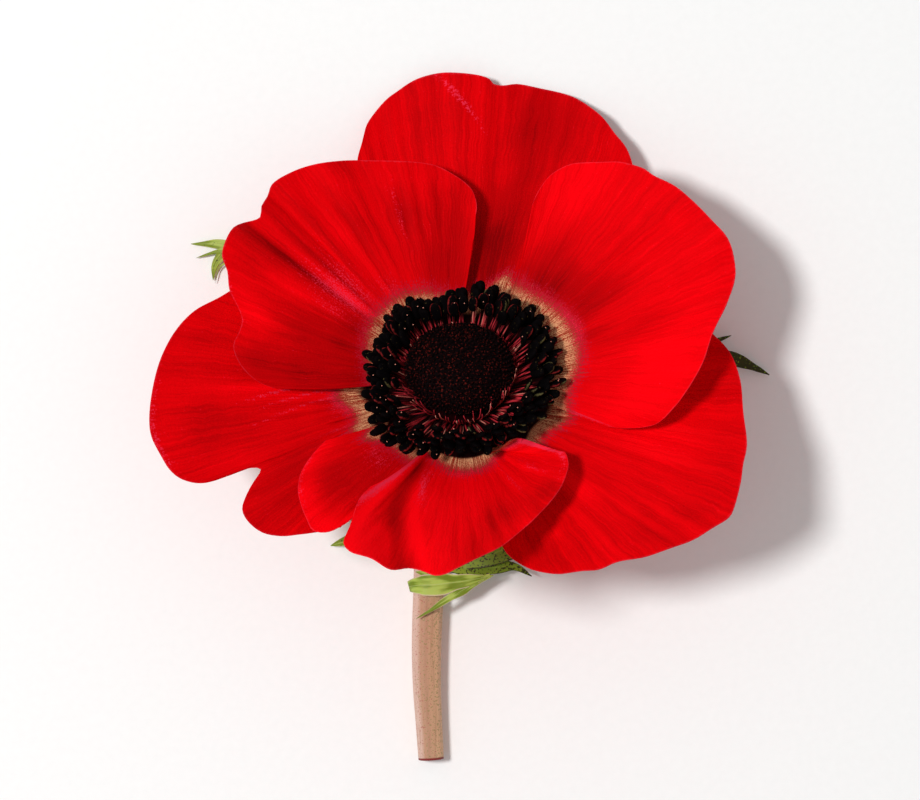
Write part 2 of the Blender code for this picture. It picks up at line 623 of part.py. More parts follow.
def lobe_grid(half_width, rib):
    """World points across and along one leaf lobe, a lance shape with a low keel."""
    places = []
    for seen_x, seen_y, height in rib:
        above_centre = height - BLOOM_HEIGHT
        places.append((*seen_to_world(seen_x, seen_y, above_centre), above_centre))
    smooth = spline(places, LEAF_RIB_STEP)
    walked = [0.0]
    for first, second in zip(smooth, smooth[1:]):
        walked.append(walked[-1] + np.linalg.norm(second - first))
    length = walked[-1]

    def rib_point(share):
        distance = length * min(max(share, 0.0), 1.0)
        return np.array([np.interp(distance, walked, [point[axis] for point in smooth])
                         for axis in range(3)])

    rows = max(LEAF_ROWS, round(length / LEAF_ROW_STEP))
    grid = [[], [], []]
    for row in range(rows + 1):
        share = row / rows
        middle = rib_point(share)
        along = rib_point(share + LEAF_LOOK) - rib_point(share - LEAF_LOOK)
        along[2] = 0.0
        along /= np.linalg.norm(along)
        across = np.array((-along[1], along[0], 0.0))
        width = half_width * lance_width(share)
        keel = np.array((0.0, 0.0, LEAF_KEEL * width))
        grid[0].append(middle - across * width + keel)
        grid[1].append(middle)
        grid[2].append(middle + across * width + keel)
    return grid


def make_bracts(parts, root, material):
    for name, lobes in LEAF_LOBES.items():
        helpers = new_collection(name + " helpers", helper=True)
        blades = []
        for half_width, rib in lobes:
            home = helpers if blades else parts
            grid = lobe_grid(half_width, rib)
            blades.append(bake(add_sheet(name, grid, LEAF_THICK, home, root)))
        joined = join_all(blades[0], helpers)
        joined.name = name
        finish(joined, material)
        bpy.data.collections.remove(helpers)


def stand_on_origin(parts, root):
    """Moves the whole flower so that its box stands centred on the origin."""
    depsgraph = bpy.context.evaluated_depsgraph_get()
    corners = []
    for obj in parts.objects:
        if obj.type == "MESH":
            mesh = obj.evaluated_get(depsgraph).to_mesh()
            corners += [obj.matrix_world @ vert.co for vert in mesh.vertices]
    low = [min(corner[axis] for corner in corners) for axis in range(3)]
    high = [max(corner[axis] for corner in corners) for axis in range(3)]
    root.location = (-(low[0] + high[0]) / 2, -(low[1] + high[1]) / 2, -low[2])
    print("box low", [round(v / MM, 2) for v in low], "high", [round(v / MM, 2) for v in high])


def main():
    clear_scene()
    parts = new_collection("anemone_flower")
    root = bpy.data.objects.new("anemone_flower_root", None)
    parts.objects.link(root)
    petal = new_material("petal_red", RED, 0.5)
    dark = new_material("anther_black", NEARLY_BLACK, 0.6)
    carpel = new_material("carpel_black", NEARLY_BLACK, 0.7)
    skin = new_material("stem_skin", PINKISH_TAN, 0.5)
    leaf = new_material("leaf_green", LEAF_GREEN, 0.5)
    make_stem(parts, root, skin)
    make_petals(parts, root, petal)
    make_bracts(parts, root, leaf)
    make_carpel_head(parts, root, carpel)
    make_stamens(parts, root, dark)
    stand_on_origin(parts, root)


main()
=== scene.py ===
# %% [markdown]
# # An anemone flower, dressed on its imported model
# The imported model is a plain flower: thirteen closed solids of the right size, which carry the weight
# and the collisions. This lesson puts a finished flower in their place. First comes the model itself,
# as it was packed.

# %% Load the imported model
import math
import random

import bmesh
import bpy
import numpy as np
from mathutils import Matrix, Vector


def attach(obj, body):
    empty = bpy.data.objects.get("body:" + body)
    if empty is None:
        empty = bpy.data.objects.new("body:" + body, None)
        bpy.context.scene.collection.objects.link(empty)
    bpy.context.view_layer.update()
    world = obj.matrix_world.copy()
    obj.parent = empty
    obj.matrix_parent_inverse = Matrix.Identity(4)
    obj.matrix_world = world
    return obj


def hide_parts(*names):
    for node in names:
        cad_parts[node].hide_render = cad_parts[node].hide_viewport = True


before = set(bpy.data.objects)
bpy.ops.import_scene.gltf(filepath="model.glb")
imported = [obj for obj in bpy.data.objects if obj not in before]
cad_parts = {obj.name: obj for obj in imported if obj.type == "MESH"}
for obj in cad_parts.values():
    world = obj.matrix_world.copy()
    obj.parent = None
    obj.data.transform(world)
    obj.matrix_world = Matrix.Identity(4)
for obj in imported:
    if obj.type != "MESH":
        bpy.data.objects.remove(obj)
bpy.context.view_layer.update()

MM = 0.001
BLOOM_CENTRE = np.array((-0.51, 3.76, 14.6))

# %% [markdown]
# The bloom leans back from its stem by 26 degrees, and an eye above the table looks down on it. An
# outline that is drawn as that eye sees it has to be lifted onto the curved petal: a point that lies
# nearer to the eye looks further out than it is. This could be done by hand with each point, but one
# function that finds the point step by step does it for a whole petal at once. From here on, places
# are in millimetres from the bloom's centre.

# %% The bloom's lean and the eye above it
BLOOM_TILT = math.radians(26.0)
SIN_TILT, COS_TILT, TAN_TILT = math.sin(BLOOM_TILT), math.cos(BLOOM_TILT), math.tan(BLOOM_TILT)
EYE = np.array((-0.3, -1.5))
EYE_DISTANCE = 550.0


def spoke(turn, reach=1.0, height=0.0):
    """A point of the bloom's own frame: its turn round the axis, how far out and how high it is."""
    return np.array((reach * math.cos(turn), reach * math.sin(turn), height))


def bloom_to_world(x, y, z):
    """A point of the bloom's own frame, whose axis is z, turned as the bloom leans."""
    return np.array((x, y * COS_TILT + z * SIN_TILT, z * COS_TILT - y * SIN_TILT))


def seen_to_world(seen, height):
    """The place at this height above the bloom's centre that the eye sees at this point."""
    return EYE + (np.asarray(seen) - EYE) * (1.0 - np.asarray(height) / EYE_DISTANCE)[..., None]


def world_to_seen(point):
    """Where the eye sees this point."""
    return EYE + (point[:2] - EYE) / (1.0 - point[2] / EYE_DISTANCE)


print("the bloom's axis points to", bloom_to_world(0.0, 0.0, 1.0).round(2))

# %% [markdown]
# A petal's margin is a smooth line through a few points. A Catmull-Rom curve passes through every
# point that it is given, and its centripetal kind makes no loops where the points stand close, so it
# suits a margin with small notches better than a Bezier curve with handles would.


# %% A smooth line through given points
def between(first, second, start, end, u):
    """The value at u on the straight way from first, at start, to second, at end."""
    return (first * (end - u) + second * (u - start)) / (end - start)


def smooth_line(points, step):
    """Points at most about step apart on a smooth curve through the given ones."""
    rows = [np.array(point, dtype=float) for point in points]
    rows = [2 * rows[0] - rows[1]] + rows + [2 * rows[-1] - rows[-2]]
    line = []
    for four in zip(rows, rows[1:], rows[2:], rows[3:]):
        knots = [0.0]
        for first, second in zip(four, four[1:]):
            knots.append(knots[-1] + max(np.linalg.norm(second - first), 1e-6) ** 0.5)
        parts = max(1, round(np.linalg.norm(four[2] - four[1]) / step))
        for index in range(parts):
            u = knots[1] + (knots[2] - knots[1]) * index / parts
            level = four
            for wide in (1, 2):
                level = [between(*pair, knots[at], knots[at + wide], u)
                         for at, pair in enumerate(zip(level, level[1:]))]
            line.append(between(*level, knots[1], knots[2], u))
    line.append(rows[-2])
    return np.array(line)


def walked_share(line):
    """How far along the line each of its points is, from 0 to 1, and the line's length."""
    walked = np.concatenate(([0.0], np.cumsum(np.linalg.norm(np.diff(line, axis=0), axis=1))))
    return walked / walked[-1], walked[-1]


corner = smooth_line([(0, 0), (3, 4), (6, 0)], 0.5)
print("a corner of 10 mm becomes a curve of", round(walked_share(corner)[1], 2), "mm")

# %% [markdown]
# Seven petals lie in an outer and an inner layer. Each could be a surface that is pulled by hand, but a
# table keeps all that makes a petal in one place, where it can be compared with the real flower:
# - the direction of its foot; its bowl: height at the foot, slope, added slope and where that starts
# - its margin as the eye sees it, clockwise, and a control point for each of its two side edges
# - folds, and curls of the margin: place along the margin, half width, height, and a shift sideways
#   towards the foot where one runs aslant
# - waves of the margin: height, number, start
# - creases: first and last place, number, share of the way out, half length
# - painted shading: soft patches of deeper red, painted shade where the petal turns from the lamp,
#   and of brighter red, painted light where it faces it; and painted sheen, a pink sheen painted
#   where crests and edges catch the light: place, share of the way out, half width, half length,
#   amount, shift
# - ring: place, half width, and how much further out the cream foot reaches there, and with it the
#   painted shade under the stamens

# %% The seven petals
PETALS = {
    "petal_top": {
        "foot": 84.0,
        "bowl": (-1.6, 0.2, 0.0, 20.0),
        "margin": [
            (-13.5, 27.4), (-14.1, 30.6), (-13.5, 33.1), (-12.8, 35.6), (-11.8, 37.1), (-10.0, 39.1),
            (-8.6, 40.1), (-7.0, 41.2), (-5.5, 41.9), (-2.9, 42.5), (-0.3, 42.5), (2.6, 42.1),
            (3.6, 41.7), (4.2, 41.0), (5.5, 40.8), (7.3, 41.0), (10.5, 40.4), (14.3, 39.5),
            (15.8, 38.8), (18.6, 36.8), (20.5, 34.4), (22.0, 32.5), (22.8, 30.6), (23.1, 27.4)],
        "sides": ((-11.5, 14.0), (19.0, 14.0)),
        "folds": [(0.42, 0.22, 1.8), (0.44, 0.03, 0.4), (0.56, 0.04, -0.6), (0.80, 0.05, 0.5)],
        "waves": (0.5, 2.5, 0.1),
        "creases": [(0.51, 0.56, 3, 0.85, 0.22), (0.6, 0.72, 5, 0.85, 0.15), (0.18, 0.3, 5, 0.9, 0.12)],
        "painted_shading": [(0.5, 0.6, 2.0, 2.0, -0.1), (0.33, 0.9, 0.05, 0.12, -0.1),
                  (0.61, 0.87, 0.04, 0.1, -0.3), (0.72, 0.88, 0.08, 0.2, -0.2),
                  (0.58, 0.44, 0.12, 0.16, -0.55), (0.64, 0.6, 0.05, 0.3, -0.2),
                  (0.6, 0.25, 0.4, 0.1, -0.3)],
        "painted_sheen": [(0.37, 0.93, 0.009, 0.1, 0.85, 0.75)],
        "ring": [(0.5, 2.0, -1.0), (0.69, 0.08, 3.4)],
    },
    "petal_upper_left": {
        "foot": 134.0,
        "bowl": (-0.55, 0.42, 0.0, 20.0),
        "margin": [
            (-25.4, 0.1), (-27.8, 1.2), (-29.8, 3.2), (-30.8, 5.8), (-30.0, 7.7), (-29.6, 9.3),
            (-30.2, 11.1), (-31.3, 13.3), (-31.6, 15.8), (-32.3, 17.9), (-32.0, 19.5), (-30.8, 21.7),
            (-29.5, 22.3), (-27.2, 23.1), (-27.0, 24.6), (-26.2, 25.9), (-25.6, 27.5), (-23.1, 29.1),
            (-19.9, 30.2), (-15.9, 30.7), (-11.0, 30.7), (-6.3, 30.5), (-3.5, 30.0), (-1.3, 28.9),
            (0.3, 27.8), (1.4, 26.6), (1.9, 24.9), (1.7, 22.7)],
        "sides": ((-14.5, -0.6), (1.0, 13.0)),
        "folds": [(0.0, 0.12, -3.2), (0.352, 0.03, 1.3), (0.408, 0.022, -0.7), (0.455, 0.02, 0.4),
                  (0.49, 0.022, -0.4), (0.52, 0.012, 0.35), (0.54, 0.022, 0.4), (0.575, 0.012, -0.35),
                  (0.62, 0.035, 0.5), (0.655, 0.014, 0.3), (0.70, 0.03, -0.4), (0.78, 0.035, 0.4),
                  (0.93, 0.10, -1.8)],
        "curls": [(0.19, 0.07, -1.3)],
        "waves": (0.4, 3.0, 0.3),
        "creases": [(0.42, 0.6, 8, 0.72, 0.3), (0.73, 0.85, 6, 0.8, 0.14)],
        "painted_shading": [(0.05, 0.6, 0.10, 0.5, -0.5), (0.395, 0.75, 0.014, 0.35, -0.65),
                  (0.87, 0.5, 0.12, 0.25, -0.4), (0.22, 0.45, 0.09, 0.22, -0.5),
                  (0.12, 0.9, 0.05, 0.15, -0.2), (0.33, 0.36, 0.05, 0.1, -0.45),
                  (0.9, 0.8, 0.06, 0.2, -0.2), (0.42, 0.52, 0.03, 0.12, 0.25),
                  (0.54, 0.7, 0.04, 0.1, 0.2), (0.33, 0.88, 0.03, 0.08, -0.25),
                  (0.21, 0.7, 0.05, 0.1, -0.2), (0.63, 0.72, 0.03, 0.12, -0.25),
                  (0.75, 0.74, 0.03, 0.12, -0.3), (0.34, 0.66, 0.02, 0.15, 0.25),
                  (0.46, 0.7, 0.01, 0.3, -0.5), (0.52, 0.7, 0.01, 0.3, -0.4),
                  (0.6, 0.7, 0.01, 0.25, -0.3), (0.2, 0.92, 0.06, 0.1, 0.3)],
        "painted_sheen": [(0.41, 0.52, 0.04, 0.24, 0.5), (0.48, 0.52, 0.04, 0.2, 0.35),
                  (0.34, 0.5, 0.03, 0.12, 0.3), (0.74, 0.75, 0.012, 0.2, 0.3),
                  (0.27, 1.0, 0.09, 0.012, 0.5), (0.6, 0.4, 0.08, 0.08, 0.3)],
        "ring": [(0.0, 0.26, -3.2), (0.98, 0.24, -3.0), (0.45, 0.3, -0.5)],
    },
    "petal_upper_right": {
        "foot": 32.0,
        "bowl": (-0.55, 0.42, 0.0, 20.0),
        "margin": [
            (9.2, 23.4), (9.6, 25.2), (10.5, 27.0), (11.8, 28.7), (13.5, 29.8), (14.9, 30.3),
            (18.6, 30.5), (21.4, 30.5), (24.5, 29.6), (25.6, 28.8), (28.6, 27.3), (30.8, 25.5),
            (33.4, 22.9), (35.8, 20.1), (36.7, 16.7), (36.7, 14.9), (35.7, 11.7), (33.7, 7.5),
            (32.4, 3.6), (30.5, 0.2), (28.6, -2.4), (26.1, -4.7), (22.5, -5.3), (19.6, -5.1)],
        "sides": ((7.6, 13.5), (11.5, -2.0)),
        "folds": [(0.0, 0.16, 1.6), (0.38, 0.04, -0.4), (0.44, 0.03, 0.4), (0.52, 0.03, -0.4),
                  (0.70, 0.10, 0.8), (0.95, 0.10, -3.0)],
        "waves": (0.4, 2.0, 0.6),
        "creases": [(0.34, 0.5, 7, 0.62, 0.25), (0.22, 0.3, 4, 0.78, 0.15), (0.6, 0.7, 4, 0.78, 0.15)],
        "painted_shading": [(0.5, 0.5, 2.0, 2.0, 0.04), (0.1, 0.36, 0.2, 0.22, -0.35),
                  (0.3, 0.4, 0.2, 0.16, -0.5), (0.43, 0.52, 0.05, 0.15, -0.2),
                  (0.62, 0.64, 0.04, 0.12, -0.2), (0.16, 0.88, 0.1, 0.2, 0.25),
                  (0.75, 0.85, 0.16, 0.2, 0.3), (0.95, 0.85, 0.06, 0.3, 0.2),
                  (0.2, 0.62, 0.04, 0.1, -0.2), (0.59, 0.4, 0.08, 0.1, -0.2)],
        "painted_sheen": [(0.99, 0.55, 0.014, 0.4, 1.0), (0.5, 0.36, 0.3, 0.05, 0.4)],
        "ring": [(0.88, 0.12, -1.3), (0.5, 0.25, 0.9)],
    },
    "petal_left": {
        "foot": 184.0,
        "bowl": (-1.75, 0.19, 0.0, 20.0),
        "margin": [
            (-16.3, -18.6), (-19.1, -19.2), (-22.2, -19.6), (-24.3, -19.8), (-26.9, -19.3),
            (-28.9, -17.7), (-29.6, -16.2), (-28.9, -14.0), (-28.1, -12.6), (-27.1, -10.8),
            (-28.4, -10.6), (-31.0, -11.5), (-35.2, -12.7), (-38.0, -12.0), (-39.4, -10.8),
            (-40.4, -9.2), (-41.8, -6.4), (-42.1, -4.1), (-41.6, 0.3), (-40.4, 4.5), (-38.3, 8.2),
            (-36.0, 10.5), (-32.5, 12.4), (-30.1, 13.9)],
        "sides": ((-10.5, -9.5), (-16.0, 7.5)),
        "folds": [(0.17, 0.09, -0.6), (0.55, 0.07, 0.7), (0.66, 0.03, 0.3), (0.85, 0.18, 2.2)],
        "waves": (0.5, 2.0, 0.0),
        "creases": [(0.5, 0.71, 8, 0.42, 0.25), (0.2, 0.42, 6, 0.85, 0.15)],
        "painted_shading": [(0.5, 0.5, 2.0, 2.0, -0.1), (0.64, 0.96, 0.08, 0.1, 0.15),
                  (0.2, 0.8, 0.12, 0.25, -0.15), (0.6, 0.84, 0.08, 0.12, -0.15),
                  (0.47, 0.78, 0.06, 0.12, 0.25), (0.3, 0.8, 0.06, 0.15, -0.15),
                  (0.69, 0.45, 0.03, 0.25, 0.4), (0.71, 0.4, 0.012, 0.35, 0.5)],
        "painted_sheen": [(0.7, 0.45, 0.009, 0.22, 1.0, 0.2), (0.66, 0.42, 0.006, 0.2, 0.6, 0.2),
                  (0.585, 0.45, 0.007, 0.22, 1.0, 0.25), (0.545, 0.45, 0.006, 0.2, 0.6, 0.25),
                  (0.5, 0.5, 0.006, 0.2, 0.5, 0.25), (0.64, 0.31, 0.12, 0.08, 0.5),
                  (0.45, 0.4, 0.03, 0.12, 0.4), (0.62, 0.99, 0.12, 0.012, 0.5)],
        "ring": [(0.5, 2.0, -0.7), (0.68, 0.09, 2.0), (0.3, 0.16, 1.3)],
    },
    "petal_lower_left": {
        "foot": 229.0,
        "bowl": (-1.1, 0.33, 0.0, 20.0),
        "margin": [
            (-11.0, -15.6), (-15.0, -17.6), (-16.3, -18.5), (-18.4, -19.3), (-20.1, -19.0),
            (-20.9, -17.6), (-21.9, -14.9), (-22.1, -13.2), (-21.6, -11.1), (-20.1, -8.8),
            (-18.4, -7.0)],
        "sides": ((-5.5, -10.0), (-11.0, -5.0)),
        "folds": [(0.62, 0.16, -0.5)],
        "curls": [(0.75, 0.3, -1.2)],
        "waves": (0.3, 1.5, 0.2),
        "creases": [(0.25, 0.55, 6, 0.8, 0.2)],
        "painted_shading": [(0.42, 0.6, 0.3, 0.25, -0.35), (0.7, 0.98, 0.4, 0.1, 0.3),
                  (0.15, 0.75, 0.1, 0.2, 0.3), (0.4, 0.95, 0.2, 0.08, 0.2),
                  (0.62, 0.8, 0.16, 0.2, -0.2)],
        "painted_sheen": [(0.75, 0.985, 0.25, 0.02, 0.4), (0.12, 0.7, 0.08, 0.25, 0.3),
                  (0.6, 0.45, 0.3, 0.1, 0.35)],
        "ring": [(0.5, 2.0, -2.2), (0.85, 0.12, 2.2)],
    },
    "petal_bottom": {
        "foot": 276.0,
        "bowl": (-0.45, 0.2, 0.55, 13.0),
        "margin": [
            (6.0, -7.1), (7.4, -6.6), (9.9, -7.3), (12.9, -8.3), (13.8, -8.5), (14.3, -10.1),
            (13.9, -11.8), (13.0, -13.7), (10.2, -17.0), (7.3, -19.6), (5.4, -21.1), (2.6, -22.5),
            (-0.5, -24.0), (-2.3, -24.9), (-3.7, -25.1), (-5.6, -24.4), (-7.2, -24.1), (-9.6, -24.3),
            (-12.2, -22.8), (-15.2, -21.8), (-16.0, -20.7), (-15.2, -18.7), (-14.6, -16.9),
            (-13.9, -14.9), (-12.4, -13.2)],
        "sides": ((2.0, -11.2), (-7.6, -11.2)),
        "folds": [(0.0, 0.14, 1.7), (0.31, 0.16, -1.6), (0.54, 0.08, 0.6, 0.27),
                  (0.655, 0.055, -1.3, 0.27), (0.79, 0.06, 1.5, 0.27)],
        "waves": (0.3, 3.0, 0.5),
        "creases": [(0.4, 0.58, 7, 0.8, 0.13), (0.74, 0.84, 5, 0.85, 0.1), (0.1, 0.32, 6, 0.6, 0.2)],
        "painted_shading": [(0.5, 0.6, 2.0, 2.0, 0.18), (0.70, 0.8, 0.035, 0.5, -0.7, 0.27),
                  (0.84, 0.34, 0.07, 0.1, -0.7), (0.95, 0.75, 0.06, 0.4, 0.6),
                  (0.79, 0.94, 0.06, 0.13, 1.3), (0.5, 0.5, 0.12, 0.2, 0.15),
                  (0.625, 0.7, 0.02, 0.4, 0.35, 0.27), (0.28, 0.9, 0.06, 0.15, -0.4),
                  (0.42, 0.8, 0.06, 0.15, -0.4), (0.4, 0.6, 0.1, 0.2, -0.1)],
        "painted_sheen": [(0.4, 0.34, 0.35, 0.05, 0.4), (0.965, 0.65, 0.035, 0.5, 0.8),
                  (0.08, 0.965, 0.1, 0.04, 0.8), (0.02, 0.85, 0.04, 0.2, 0.7),
                  (0.6, 0.45, 0.03, 0.12, 0.5, 0.27), (0.2, 0.7, 0.015, 0.2, 0.35),
                  (0.3, 0.6, 0.012, 0.2, 0.35)],
        "ring": [(0.13, 0.2, -3.5), (0.98, 0.24, -3.2), (0.5, 2.0, -2.1)],
    },
    "petal_lower_right": {
        "foot": 327.0,
        "bowl": (-1.6, 0.2, 0.0, 20.0),
        "margin": [
            (32.0, 9.0), (33.7, 7.4), (36.0, 4.9), (37.4, 1.2), (37.8, -3.0), (38.3, -7.6),
            (37.8, -10.1), (37.5, -12.4), (36.5, -16.2), (35.9, -17.3), (33.7, -18.7), (31.1, -20.3),
            (28.1, -21.4), (24.6, -22.6), (20.8, -23.3), (18.4, -24.3), (16.1, -24.5), (12.9, -24.9),
            (10.5, -24.6), (8.2, -23.8), (6.0, -22.1), (4.7, -19.9)],
        "sides": ((16.0, 5.0), (3.2, -12.5)),
        "folds": [(0.35, 0.09, -0.6), (0.60, 0.08, 0.8), (0.82, 0.07, -0.5)],
        "waves": (0.5, 2.5, 0.4),
        "creases": [(0.28, 0.38, 4, 0.7, 0.2), (0.5, 0.62, 5, 0.8, 0.15), (0.7, 0.8, 4, 0.7, 0.2)],
        "painted_shading": [(0.32, 0.65, 0.08, 0.2, 0.3), (0.82, 0.9, 0.08, 0.15, -0.15),
                  (0.62, 0.5, 0.05, 0.15, 0.45), (0.38, 0.92, 0.1, 0.1, -0.1),
                  (0.5, 0.7, 2.0, 2.0, -0.03)],
        "painted_sheen": [],
        "ring": [(0.48, 0.14, -2.6), (0.1, 0.12, -0.8)],
    },
}
print("petals:", len(PETALS))

# %% [markdown]
# The blade between foot and margin is a fan of veins. Each vein is a bent line from the narrow foot
# out to the margin, and the whole fan is lifted onto the petal's bowl. A real petal is never as smooth
# as a bowl: veins raise fine ribs, and the margin, which grows longest, ruffles. Both are added to the
# height of the blade itself, so they catch the light as real ribs do. In what follows, place says where
# a vein ends along the margin, from 0 to 1, and t how far out along the vein a point is, from 0 to 1.

# %% A petal as a fan of veins
CLAW_RADIUS, CLAW_HALF_ANGLE = 5.4, 21.0
BEND_WIDTH = 5.0
PETAL_STEP, PETAL_ROWS = 0.62, 84
VEIN_BEND_AT = 0.45
LIFT_STEPS = 20
POWERS = {"folds": 1.7, "curls": 4.0}
RIB_HEIGHT, RIB_WAVES, RIB_NUMBER = 0.035, 9, (9.0, 44.0)
RIB_SWAY, RIB_SWAY_NUMBER, RIB_FADE = (0.1, 0.5), (2.0, 5.0), 0.4
RUFFLE_HEIGHT, RUFFLE_WAVES, RUFFLE_NUMBER, RUFFLE_POWER = 0.10, 4, (6.0, 19.0), 9
CREASE_DEPTH, CREASE_WIDTH, CREASE_STRENGTH = 0.27, 0.4, (0.4, 1.2)
CREASE_STRAY, CREASE_SLANT, CREASE_SLIDE = 0.3, 0.05, 0.08


def hump(value, centre, spread):
    """A soft hump, 1 in its middle, over the values near the centre."""
    return np.exp(-((value - centre) / spread) ** 2)


def stripe(place, t, centre, spread, shift=0.0):
    """A soft stripe along the veins that may run aslant."""
    return hump(place - shift * (1.0 - t), centre, spread)


def bowl_height(radius, bowl):
    """Height of a petal's bowl above the bloom's plane at this distance from its axis."""
    foot_height, slope, added_slope, bend_radius = bowl
    bend, foot_bend = (0.5 * (reach - bend_radius + np.hypot(reach - bend_radius, BEND_WIDTH))
                       for reach in (radius, CLAW_RADIUS))
    return foot_height + slope * (radius - CLAW_RADIUS) + added_slope * (bend - foot_bend)


def lift_onto_bowl(seen, bowl, relief):
    """World points that the eye sees at these places, and their distance from the bloom's axis."""
    height = np.zeros(seen.shape[:-1])
    for _ in range(LIFT_STEPS):
        place = seen_to_world(seen, height)
        rise = (height + place[..., 1] * TAN_TILT) * COS_TILT
        plane_y = (place[..., 1] - rise * SIN_TILT) / COS_TILT
        reach = np.hypot(place[..., 0], plane_y)
        rise = bowl_height(reach, bowl) + relief
        height = rise / COS_TILT - place[..., 1] * TAN_TILT
    return np.concatenate((seen_to_world(seen, height), height[..., None]), axis=-1), reach


def vein_relief(place, t, chance):
    """Fine ribs along the veins and a ruffle at the margin, in millimetres."""
    ribs = ruffle = np.zeros_like(place * t)
    for _ in range(RIB_WAVES):
        number, start = chance.uniform(*RIB_NUMBER), chance.uniform(0.0, 1.0)
        sway = chance.uniform(*RIB_SWAY)
        sway *= np.sin(chance.uniform(*RIB_SWAY_NUMBER) * t + chance.uniform(0.0, 6.0))
        ribs = ribs + np.sin(2 * math.pi * (number * place + start) + sway) * (20.0 / (number + 10.0))
    for _ in range(RUFFLE_WAVES):
        number, start = chance.uniform(*RUFFLE_NUMBER), chance.uniform(0.0, 1.0)
        ruffle = ruffle + np.sin(2 * math.pi * (number * place + start))
    ribs, ruffle = RIB_HEIGHT * ribs * t * (1.0 - RIB_FADE * t), RUFFLE_HEIGHT * ruffle
    return ribs + ruffle * t ** RUFFLE_POWER


def crease_relief(place, t, creases, chance):
    """Sharper lines along the veins, by turns up and down, in millimetres."""
    relief = np.zeros_like(place * t)
    for first, last, count, way, length in creases:
        for index in range(count):
            order = index + chance.uniform(-CREASE_STRAY, CREASE_STRAY)
            centre = first + (last - first) * order / (count - 1)
            depth = CREASE_DEPTH * chance.uniform(*CREASE_STRENGTH) * (-1) ** index
            spread = CREASE_WIDTH * (last - first) / count
            line = stripe(place, t, centre, spread, chance.uniform(-CREASE_SLANT, CREASE_SLANT))
            slid = way + chance.uniform(-CREASE_SLIDE, CREASE_SLIDE)
            relief += depth * line * hump(t, slid, length)
    return relief


def petal_fan(name, chance):
    """Points of a petal's middle sheet, and for each its place across, its way out and its reach."""
    petal = PETALS[name]
    margin = smooth_line(petal["margin"], PETAL_STEP)
    places, width = walked_share(margin)
    angles = np.radians(petal["foot"] + CLAW_HALF_ANGLE * (1.0 - 2.0 * places))
    feet = np.array([world_to_seen(bloom_to_world(*spoke(angle, CLAW_RADIUS, petal["bowl"][0])))
                     for angle in angles])
    place = places[:, None]
    middles = feet + VEIN_BEND_AT * (margin - feet)
    first_side, last_side = (np.array(petal["sides"][end]) - middles[end] for end in (0, -1))
    middles += first_side * (1.0 - place) ** 3 + last_side * place ** 3
    t = np.linspace(0.0, 1.0, PETAL_ROWS + 1)[None, :]
    fan = [(1 - t) ** 2 * feet[:, None, axis] + 2 * t * (1 - t) * middles[:, None, axis]
           + t ** 2 * margin[:, None, axis] for axis in (0, 1)]
    height, number, start = petal["waves"]
    relief = height * np.sin(2 * math.pi * (number * place + start)) * t ** 3
    for kind, power in POWERS.items():
        for centre, spread, amount, *shift in petal.get(kind, ()):
            relief += amount * stripe(place, t, centre, spread, *shift) * t ** power
    relief += vein_relief(place, t, chance)
    relief += crease_relief(place, t, petal["creases"], chance)
    points, reach = lift_onto_bowl(np.stack(fan, axis=-1), petal["bowl"], relief)
    return points, place + 0 * t, t + 0 * place, reach, width


print("ribs on a petal:", RIB_WAVES, "waves, up to", RIB_NUMBER[1], "from side to side")

# %% [markdown]
# A sheet of points becomes a mesh of quads. Blender could draw the grid and then move its points, but
# building the faces from the row and column numbers is just as short and keeps the points in order,
# so a colour note can be stored with each of them. A real petal is about a quarter of a millimetre
# thick and thins out towards its margin. The Solidify modifier gives one thickness all over, so the
# sheet's two skins are set off from it here, along its own normals, and joined by a rim. Everything
# else on the flower is round, so it is a loft: rings of points, joined one to the next.


# %% Meshes from rows and rings of points
def keep_note(piece, name, values):
    """Stores a vector with each point of the mesh, for the material to read."""
    note = piece.data.attributes.new(name, "FLOAT_VECTOR", "POINT")
    note.data.foreach_set("vector", np.asarray(values, dtype=np.float32).ravel())


def new_piece(name, cad_node, points, faces, notes=None):
    """A mesh object that stands for a CAD node, with a vector note for each point."""
    mesh = bpy.data.meshes.new(name)
    mesh.from_pydata((np.asarray(points) + BLOOM_CENTRE) * MM, [], faces)
    mesh.validate()
    mesh.shade_smooth()
    piece = bpy.data.objects.new(name, mesh)
    bpy.context.scene.collection.objects.link(piece)
    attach(piece, "root")
    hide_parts(cad_node)
    if notes is not None:
        keep_note(piece, "grain", notes)
    return piece


def quads_between(below, above):
    """Faces between two sets of rows of point numbers; the rows run round."""
    corners = (below, np.roll(below, -1, axis=1), np.roll(above, -1, axis=1), above)
    return np.stack(corners, axis=-1).reshape(-1, 4).tolist()


def sheet_shell(points, thick):
    """Points and faces of a closed shell round a sheet of points, with a thickness for each."""
    normal = np.cross(np.gradient(points, axis=0), np.gradient(points, axis=1))
    normal *= 0.5 * thick[..., None] / np.linalg.norm(normal, axis=-1)[..., None]
    number = np.arange(thick.size).reshape(thick.shape)
    corners = (number[:-1, :-1], number[1:, :-1], number[1:, 1:], number[:-1, 1:])
    upper = np.stack(corners, axis=-1).reshape(-1, 4)
    loop = np.concatenate((number[0, :0:-1], number[:-1, 0], number[-1, :-1], number[:0:-1, -1]))
    rim = quads_between(loop[None] + thick.size, loop[None])
    faces = upper.tolist() + (upper[:, ::-1] + thick.size).tolist() + rim
    return np.concatenate((points + normal, points - normal)).reshape(-1, 3), faces


def add_loft(skin, rings, note=(0.0, 0.0, 0.0), closed=False):
    """Adds a loft to a skin of points, faces and notes; closed joins its last ring to its first."""
    points, faces, notes = skin
    shape = np.shape(rings)
    number = len(points) + np.arange(shape[0] * shape[1]).reshape(shape[:2])
    if closed:
        faces.extend(quads_between(number, np.roll(number, -1, axis=0)))
    else:
        faces.extend(quads_between(number[:-1], number[1:]))
        faces.extend((number[0, ::-1].tolist(), number[-1].tolist()))
    points.extend(np.reshape(rings, (-1, 3)))
    notes.extend(np.broadcast_to(note, shape).reshape(-1, 3))


